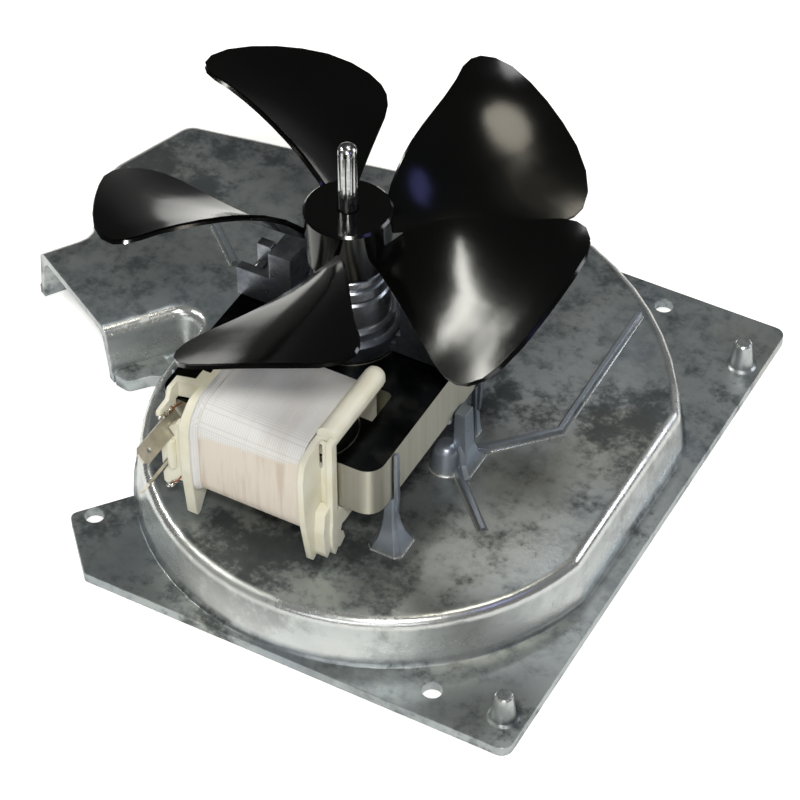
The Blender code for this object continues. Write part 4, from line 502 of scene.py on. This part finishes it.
def enamelledCopper():
    # Copper wire, drawn and enamelled: warm, glossy, ribbed by its turns
    look = copperLook
    made, tree, shader = newMaterial("enamelledCopper", Metallic=1.0, Roughness=0.3)
    place = addNode(tree, "ShaderNodeTexCoord").outputs["Object"]
    cloud = addNode(tree, "ShaderNodeTexNoise", None,
                    {"Vector": place, "Scale": perLength(look["cloudMm"]), "Detail": 3.0})
    colour = addNode(tree, "ShaderNodeMix", ofColours,
                     {0: cloud, 6: fromHex(look["bright"]), 7: fromHex(look["dark"])})
    across = addNode(tree, "ShaderNodeSeparateXYZ", None, {0: place}).outputs["X"]
    across = addNode(tree, "ShaderNodeMath", {"operation": "MULTIPLY"},
                     {0: across, 1: 2 * pi * perLength(look["turnMm"])})
    turns = addNode(tree, "ShaderNodeMath", {"operation": "SINE"}, {0: across})
    bump = addNode(tree, "ShaderNodeBump", None, {"Strength": 0.4, "Distance": 0.0001, "Height": turns})
    feed(tree, shader, {"Base Color": colour, "Normal": bump})
    return made


bronzeLook = {"pore": "#8C6B42", "bare": "#B18E60", "poreMm": 0.7}


def sinteredBronze():
    # Bronze powder, pressed and sintered: porous, dull with oil
    look = bronzeLook
    made, tree, shader = newMaterial("sinteredBronze", Metallic=1.0, Roughness=0.5)
    place = addNode(tree, "ShaderNodeTexCoord").outputs["Object"]
    pores = addNode(tree, "ShaderNodeTexNoise", None,
                    {"Vector": place, "Scale": perLength(look["poreMm"]), "Detail": 3.0})
    colour = addNode(tree, "ShaderNodeMix", ofColours, {0: pores, 6: fromHex(look["pore"]), 7: fromHex(look["bare"])})
    bump = addNode(tree, "ShaderNodeBump", None, {"Strength": 0.3, "Distance": 0.0001, "Height": pores})
    feed(tree, shader, {"Base Color": colour, "Normal": bump})
    return made


steelLook = {"bright": "#D0D2D3", "dull": "#9C9F9F", "ringMm": 0.5, "rough": (0.14, 0.26)}


def groundSteel():
    # Carbon steel, ground and polished: bright, with fine rings from grinding
    look = steelLook
    made, tree, shader = newMaterial("groundSteel", Metallic=1.0)
    place = addNode(tree, "ShaderNodeTexCoord").outputs["Object"]
    rings = addNode(tree, "ShaderNodeVectorMath", {"operation": "MULTIPLY"}, {0: place, 1: (0.2, 0.2, 1.0)})
    line = addNode(tree, "ShaderNodeTexNoise", None,
                   {"Vector": rings, "Scale": perLength(look["ringMm"]), "Detail": 2.0})
    colour = addNode(tree, "ShaderNodeMix", ofColours, {0: line, 6: fromHex(look["bright"]), 7: fromHex(look["dull"])})
    low, high = look["rough"]
    rough = addNode(tree, "ShaderNodeMapRange", None,
                    {"Value": line, "From Min": 0.3, "From Max": 0.7, "To Min": low, "To Max": high})
    feed(tree, shader, {"Base Color": colour, "Roughness": rough})
    return made


tabLook = {"bright": "#D9D5C9", "stained": "#A59E8F", "stainMm": 2.2, "rough": (0.26, 0.48)}


def tinnedBrass():
    # Brass strip, tinned and stamped: dull warm grey with darker stains
    look = tabLook
    made, tree, shader = newMaterial("tinnedBrass", Metallic=0.75)
    place = addNode(tree, "ShaderNodeTexCoord").outputs["Object"]
    cloud = addNode(tree, "ShaderNodeTexNoise", None,
                    {"Vector": place, "Scale": perLength(look["stainMm"]), "Detail": 4.0})
    colour = addNode(tree, "ShaderNodeMix", ofColours,
                     {0: cloud, 6: fromHex(look["bright"]), 7: fromHex(look["stained"])})
    low, high = look["rough"]
    rough = addNode(tree, "ShaderNodeMapRange", None,
                    {"Value": cloud, "From Min": 0.3, "From Max": 0.7, "To Min": low, "To Max": high})
    feed(tree, shader, {"Base Color": colour, "Roughness": rough})
    return made


solderLook = {"bright": "#D2D2CE", "flux": "#6B5236", "lumpMm": 0.9}


def tinSolder():
    # Tin-lead solder, melted and left to set: bright, lumpy, with flux brown in its dips
    look = solderLook
    made, tree, shader = newMaterial("tinSolder", Metallic=1.0, Roughness=0.22)
    place = addNode(tree, "ShaderNodeTexCoord").outputs["Object"]
    lump = addNode(tree, "ShaderNodeTexNoise", None,
                   {"Vector": place, "Scale": perLength(look["lumpMm"]), "Detail": 3.0})
    dip = addNode(tree, "ShaderNodeMapRange", easedRange, {"Value": lump, "From Min": 0.48, "From Max": 0.36})
    colour = addNode(tree, "ShaderNodeMix", ofColours, {0: dip, 6: fromHex(look["bright"]), 7: fromHex(look["flux"])})
    bump = addNode(tree, "ShaderNodeBump", None, {"Strength": 0.6, "Distance": 0.0003, "Height": lump})
    feed(tree, shader, {"Base Color": colour, "Normal": bump})
    return made


blackLook = {
    "deep": "#030403", "light": "#070807", "flowMm": 14.0, "sparkleMm": 0.5,
    "rough": (0.11, 0.155), "gloss": 0.42,
}


def blackPolyamide():
    # Polyamide with mineral filler, injection-moulded: near black, glossy, with a fine sparkle in its highlights
    look = blackLook
    made, tree, shader = newMaterial("blackPolyamide", IOR=1.53)
    shader.inputs["Specular IOR Level"].default_value = look["gloss"]
    place = addNode(tree, "ShaderNodeTexCoord").outputs["Object"]
    fine = addNode(tree, "ShaderNodeTexNoise", None,
                   {"Vector": place, "Scale": perLength(look["sparkleMm"]), "Detail": 3.0, "Roughness": 0.7})
    wide = addNode(tree, "ShaderNodeTexNoise", None,
                   {"Vector": place, "Scale": perLength(look["flowMm"]), "Detail": 3.0})
    colour = addNode(tree, "ShaderNodeMix", ofColours, {0: wide, 6: fromHex(look["deep"]), 7: fromHex(look["light"])})
    low, high = look["rough"]
    rough = addNode(tree, "ShaderNodeMapRange", None,
                    {"Value": fine, "From Min": 0.3, "From Max": 0.75, "To Min": low, "To Max": high})
    bump = addNode(tree, "ShaderNodeBump", None, {"Strength": 0.06, "Distance": 0.0001, "Height": fine})
    feed(tree, shader, {"Base Color": colour, "Roughness": rough, "Normal": bump})
    return made


fibreLook = {"dark": "#7C6A4C", "light": "#96845F", "fleckMm": 0.8}


def pressedFibre():
    # Vulcanised fibre, punched: brown, matt
    look = fibreLook
    made, tree, shader = newMaterial("pressedFibre", Roughness=0.75)
    place = addNode(tree, "ShaderNodeTexCoord").outputs["Object"]
    fleck = addNode(tree, "ShaderNodeTexNoise", None,
                    {"Vector": place, "Scale": perLength(look["fleckMm"]), "Detail": 3.0})
    colour = addNode(tree, "ShaderNodeMix", ofColours, {0: fleck, 6: fromHex(look["dark"]), 7: fromHex(look["light"])})
    feed(tree, shader, {"Base Color": colour})
    return made


castMetal = castAluminium()
zincMetal = castZinc()
sheetSteel = electricalSteel()
cream = creamPolyamide()
cloth = glassClothTape("glassClothTape", tapeLook["wrapMm"])
clothEdge = glassClothTape("glassClothEdge", 0.0)  # the tape's end lies double from top to bottom
copper = enamelledCopper()
bronze = sinteredBronze()
steel = groundSteel()
tin = tinnedBrass()
solder = tinSolder()
blackPlastic = blackPolyamide()
fibre = pressedFibre()

finishes = {
    "housing_plate": castMetal,
    "bearing_bridge_upper": zincMetal, "bearing_bridge_lower": zincMetal, "bearing_cap": zincMetal,
    "lamination_frame": sheetSteel, "coil_core": sheetSteel, "rotor_core": sheetSteel,
    "coil_bobbin": cream, "coil_tape": cloth,
    "coil_winding": copper, "shading_ring_right": copper, "shading_ring_left": copper,
    "terminal_upper": tin, "terminal_lower": tin,
    "bearing_bush_upper": bronze, "bearing_bush_lower": bronze,
    "bridge_screw_right": steel, "bridge_screw_left": steel, "rotor_shaft": steel, "blower_nut": steel,
    "thrust_washer_upper": fibre, "thrust_washer_lower": fibre,
    "cooling_fan": blackPlastic, "blower_wheel": blackPlastic,
}

facetShading = {"angle": 34, "weldMm": 0.004}  # degrees up to which facets blend; corners this near are one


def smoothShading():
    # welds the facets' corners and shades them smooth below an angle, as a modifier, so the CAD mesh stays as it is
    group = bpy.data.node_groups.new("smoothFacets", "GeometryNodeTree")
    group.interface.new_socket("Geometry", in_out="INPUT", socket_type="NodeSocketGeometry")
    group.interface.new_socket("Geometry", in_out="OUTPUT", socket_type="NodeSocketGeometry")
    start = addNode(group, "NodeGroupInput")
    weld = addNode(group, "GeometryNodeMergeByDistance", None,
                   {"Geometry": start.outputs[0], "Distance": facetShading["weldMm"] * mm})
    bent = addNode(group, "GeometryNodeInputMeshEdgeAngle")
    soft = addNode(group, "FunctionNodeCompare", {"data_type": "FLOAT", "operation": "LESS_THAN"},
                   {0: bent.outputs["Unsigned Angle"], 1: radians(facetShading["angle"])})
    faces = addNode(group, "GeometryNodeSetShadeSmooth", {"domain": "FACE"},
                    {"Geometry": weld.outputs[0], "Shade Smooth": True})
    edges = addNode(group, "GeometryNodeSetShadeSmooth", {"domain": "EDGE"},
                    {"Geometry": faces.outputs[0], "Shade Smooth": soft.outputs[0]})
    addNode(group, "NodeGroupOutput", None, {0: edges.outputs[0]})
    return group


facets = smoothShading()
for name, item in frame["nodes"].items():
    item.data.materials.clear()
    item.data.materials.append(finishes[name])
    step = item.modifiers.new("smoothFacets", "NODES")
    step.node_group = facets
print("materials laid on", len(frame["nodes"]), "nodes")


# The tape's end, turned up against the left flange

tapeLip = {
    "wideMm": 2.1, "thickMm": 0.26, "liftMm": 0.9,
    "wave": 0.12,   # how much the lip's rise varies
    "waveMm": 4.0,  # over this length
    "stepMm": 1.5,  # spacing of its corners around the coil
}


def hullOf(node, reach):
    # outline across the shaft's side view at the node's left end, from the CAD corners there
    spots = [v.co for v in frame["nodes"][node].data.vertices]
    left = min(p.x for p in spots)
    flat = [(p.y, p.z) for p in spots if p.x < left + reach]
    return left, [Vector(flat[k]) for k in geometry.convex_hull_2d(flat)]


def resampled(loop, step):
    out = []
    for a, b in zip(loop, loop[1:] + loop[:1]):
        count = max(1, round((b - a).length / step))
        out += [a.lerp(b, k / count) for k in range(count)]
    return out


def ringFaces(rings, across):
    faces = []
    for i in range(rings):
        for j in range(across):
            k, m = (i + 1) % rings, (j + 1) % across
            faces.append((i * across + j, k * across + j, k * across + m, i * across + m))
    return faces


def buildTapeLip():
    left, outline = hullOf("coil_tape", 0.1 * mm)
    outline = [p for p, q in zip(outline, outline[1:] + outline[:1]) if (p - q).length > 0.2 * mm]
    outline = resampled(outline, tapeLip["stepMm"] * mm)
    if sum(a.x * b.y - a.y * b.x for a, b in zip(outline, outline[1:] + outline[:1])) < 0:
        outline.reverse()
    wide, thick, lift = (tapeLip[k] * mm for k in ("wideMm", "thickMm", "liftMm"))
    # across the strip: how far from the tape's end, and how far off its surface
    section = [(0.06 * mm, 0.04 * mm), (wide, 0.04 * mm), (wide + 0.05 * mm, thick * 0.7), (wide - 0.25 * mm, thick),
               (wide * 0.55, thick + 0.08 * mm), (wide * 0.28, thick + lift * 0.4), (wide * 0.13, thick + lift * 0.8),
               (0.25 * mm, thick + lift), (0.06 * mm, thick + lift * 0.85)]
    points = []
    count = len(outline)
    for k, spot in enumerate(outline):
        along = (outline[(k + 1) % count] - outline[k - 1]).normalized()
        off = Vector((along.y, -along.x))
        ripple = noise.noise(Vector((spot.x, spot.y, 0.0)) * perLength(tapeLip["waveMm"]))
        wave = 1.0 + tapeLip["wave"] * ripple
        for x, rise in section:
            out = spot + off * rise * wave
            points.append((left + x, out.x, out.y))
    return addPiece("tape_lip", points, ringFaces(count, len(section)), clothEdge, "motor", 50)


buildTapeLip()


# Rounded rib moulded on the front of the terminal block, below the upper tab

blockRib = {
    "x": -24.5, "faceY": -50.35, "wideMm": 2.6, "deepMm": 1.5, "arcSteps": 10,
    "levels": (  # height in mm and size there
        (32.6, 0.45), (32.9, 0.75), (33.5, 0.95), (34.4, 1.0), (42.6, 1.0), (43.2, 0.94), (43.5, 0.8),
    ),
}


def buildBlockRib():
    look = blockRib
    steps = look["arcSteps"]
    arc = [(-cos(pi * k / steps) * look["wideMm"] / 2, -sin(pi * k / steps) * look["deepMm"]) for k in range(steps + 1)]
    points = [shaftAxis + Vector((look["x"] + x * size, look["faceY"] + y * size, z)) * mm
              for z, size in look["levels"] for x, y in arc]
    across, rings = len(arc), len(look["levels"])
    faces = [(r * across + k, r * across + (k + 1) % across, (r + 1) * across + (k + 1) % across, (r + 1) * across + k)
             for r in range(rings - 1) for k in range(across)]
    faces += [tuple(range(across))[::-1], tuple((rings - 1) * across + k for k in range(across))]
    return addPiece("terminal_block_rib", points, faces, cream, "motor", 40)


buildBlockRib()


# Solder on the two tabs, with the coil's wire ends in it; places and radii in mm from the shaft

solderJoints = {
    "solder_upper": (((-26.2, -46.2, 50.3), 0.85), ((-26.1, -47.6, 50.7), 1.05), ((-26.0, -49.1, 50.9), 0.80),
                     ((-26.1, -50.5, 51.2), 1.05), ((-26.2, -52.0, 51.6), 0.80)),
    "solder_lower": (((-25.9, -50.6, 25.9), 0.95), ((-24.7, -50.8, 27.0), 1.10), ((-23.6, -50.6, 28.3), 0.75)),
}
solderShape = {
    "squash": (0.72, 1.05, 0.80),  # each drop lies flatter on its tab
    "lump": 0.22,
    "lumpScale": 1.7,
    "shift": 7.3,                  # moves each drop to its own lumps
}
wireEnds = {
    "wire_upper": ((-25.2, -43.6, 50.0), (-25.0, -45.0, 50.9), (-25.3, -46.8, 51.2), (-25.6, -48.6, 50.7)),
    "wire_lower": ((-22.2, -50.7, 30.6), (-23.0, -51.0, 29.2), (-24.2, -51.2, 27.9), (-25.2, -51.2, 27.0)),
}
wireShape = {"radiusMm": 0.22, "steps": 6, "sides": 8}


def buildSolder(name, blobs):
    bm = bmesh.new()
    squash = Vector(solderShape["squash"])
    for k, (centre, radius) in enumerate(blobs):
        middle = shaftAxis + Vector(centre) * mm
        own = Vector((solderShape["shift"] * k, 0.0, 0.0))
        ball = bmesh.ops.create_icosphere(bm, subdivisions=3, radius=1.0)["verts"]
        for v in ball:
            lump = 1.0 + solderShape["lump"] * noise.noise(v.co * solderShape["lumpScale"] + own)
            v.co = middle + v.co * squash * radius * lump * mm
    points = [v.co.copy() for v in bm.verts]
    bm.verts.index_update()
    faces = [[v.index for v in f.verts] for f in bm.faces]
    bm.free()
    return addPiece(name, points, faces, solder, "motor", 60)


def smoothLine(path, steps):
    # a curve that goes through every point of the path
    line = []
    for k in range(len(path) - 1):
        before, after = path[max(k - 1, 0)], path[min(k + 2, len(path) - 1)]
        a, b = path[k], path[k + 1]
        for s in range(steps):
            t = s / steps
            line.append(0.5 * (2 * a + (b - before) * t + (2 * before - 5 * a + 4 * b - after) * t * t
                               + (3 * a - before - 3 * b + after) * t * t * t))
    return line + [path[-1]]


def buildWire(name, stops):
    line = smoothLine([shaftAxis + Vector(p) * mm for p in stops], wireShape["steps"])
    radius, sides = wireShape["radiusMm"] * mm, wireShape["sides"]
    aslant = Vector((0.31, 0.2, 0.93))  # a direction that no wire runs along
    points = []
    for k, spot in enumerate(line):
        along = (line[min(k + 1, len(line) - 1)] - line[max(k - 1, 0)]).normalized()
        side = along.cross(aslant).normalized()
        up = along.cross(side)
        for s in range(sides):
            a = 2 * pi * s / sides
            points.append(spot + (side * cos(a) + up * sin(a)) * radius)
    faces = [(k * sides + s, k * sides + (s + 1) % sides, (k + 1) * sides + (s + 1) % sides, (k + 1) * sides + s)
             for k in range(len(line) - 1) for s in range(sides)]
    faces += [tuple(range(sides)), tuple((len(line) - 1) * sides + s for s in range(sides))]
    return addPiece(name, points, faces, copper, "motor", 60)


for name, blobs in solderJoints.items():
    buildSolder(name, blobs)
for name, stops in wireEnds.items():
    buildWire(name, stops)
print("tape lip, terminal rib, solder and wire ends made")
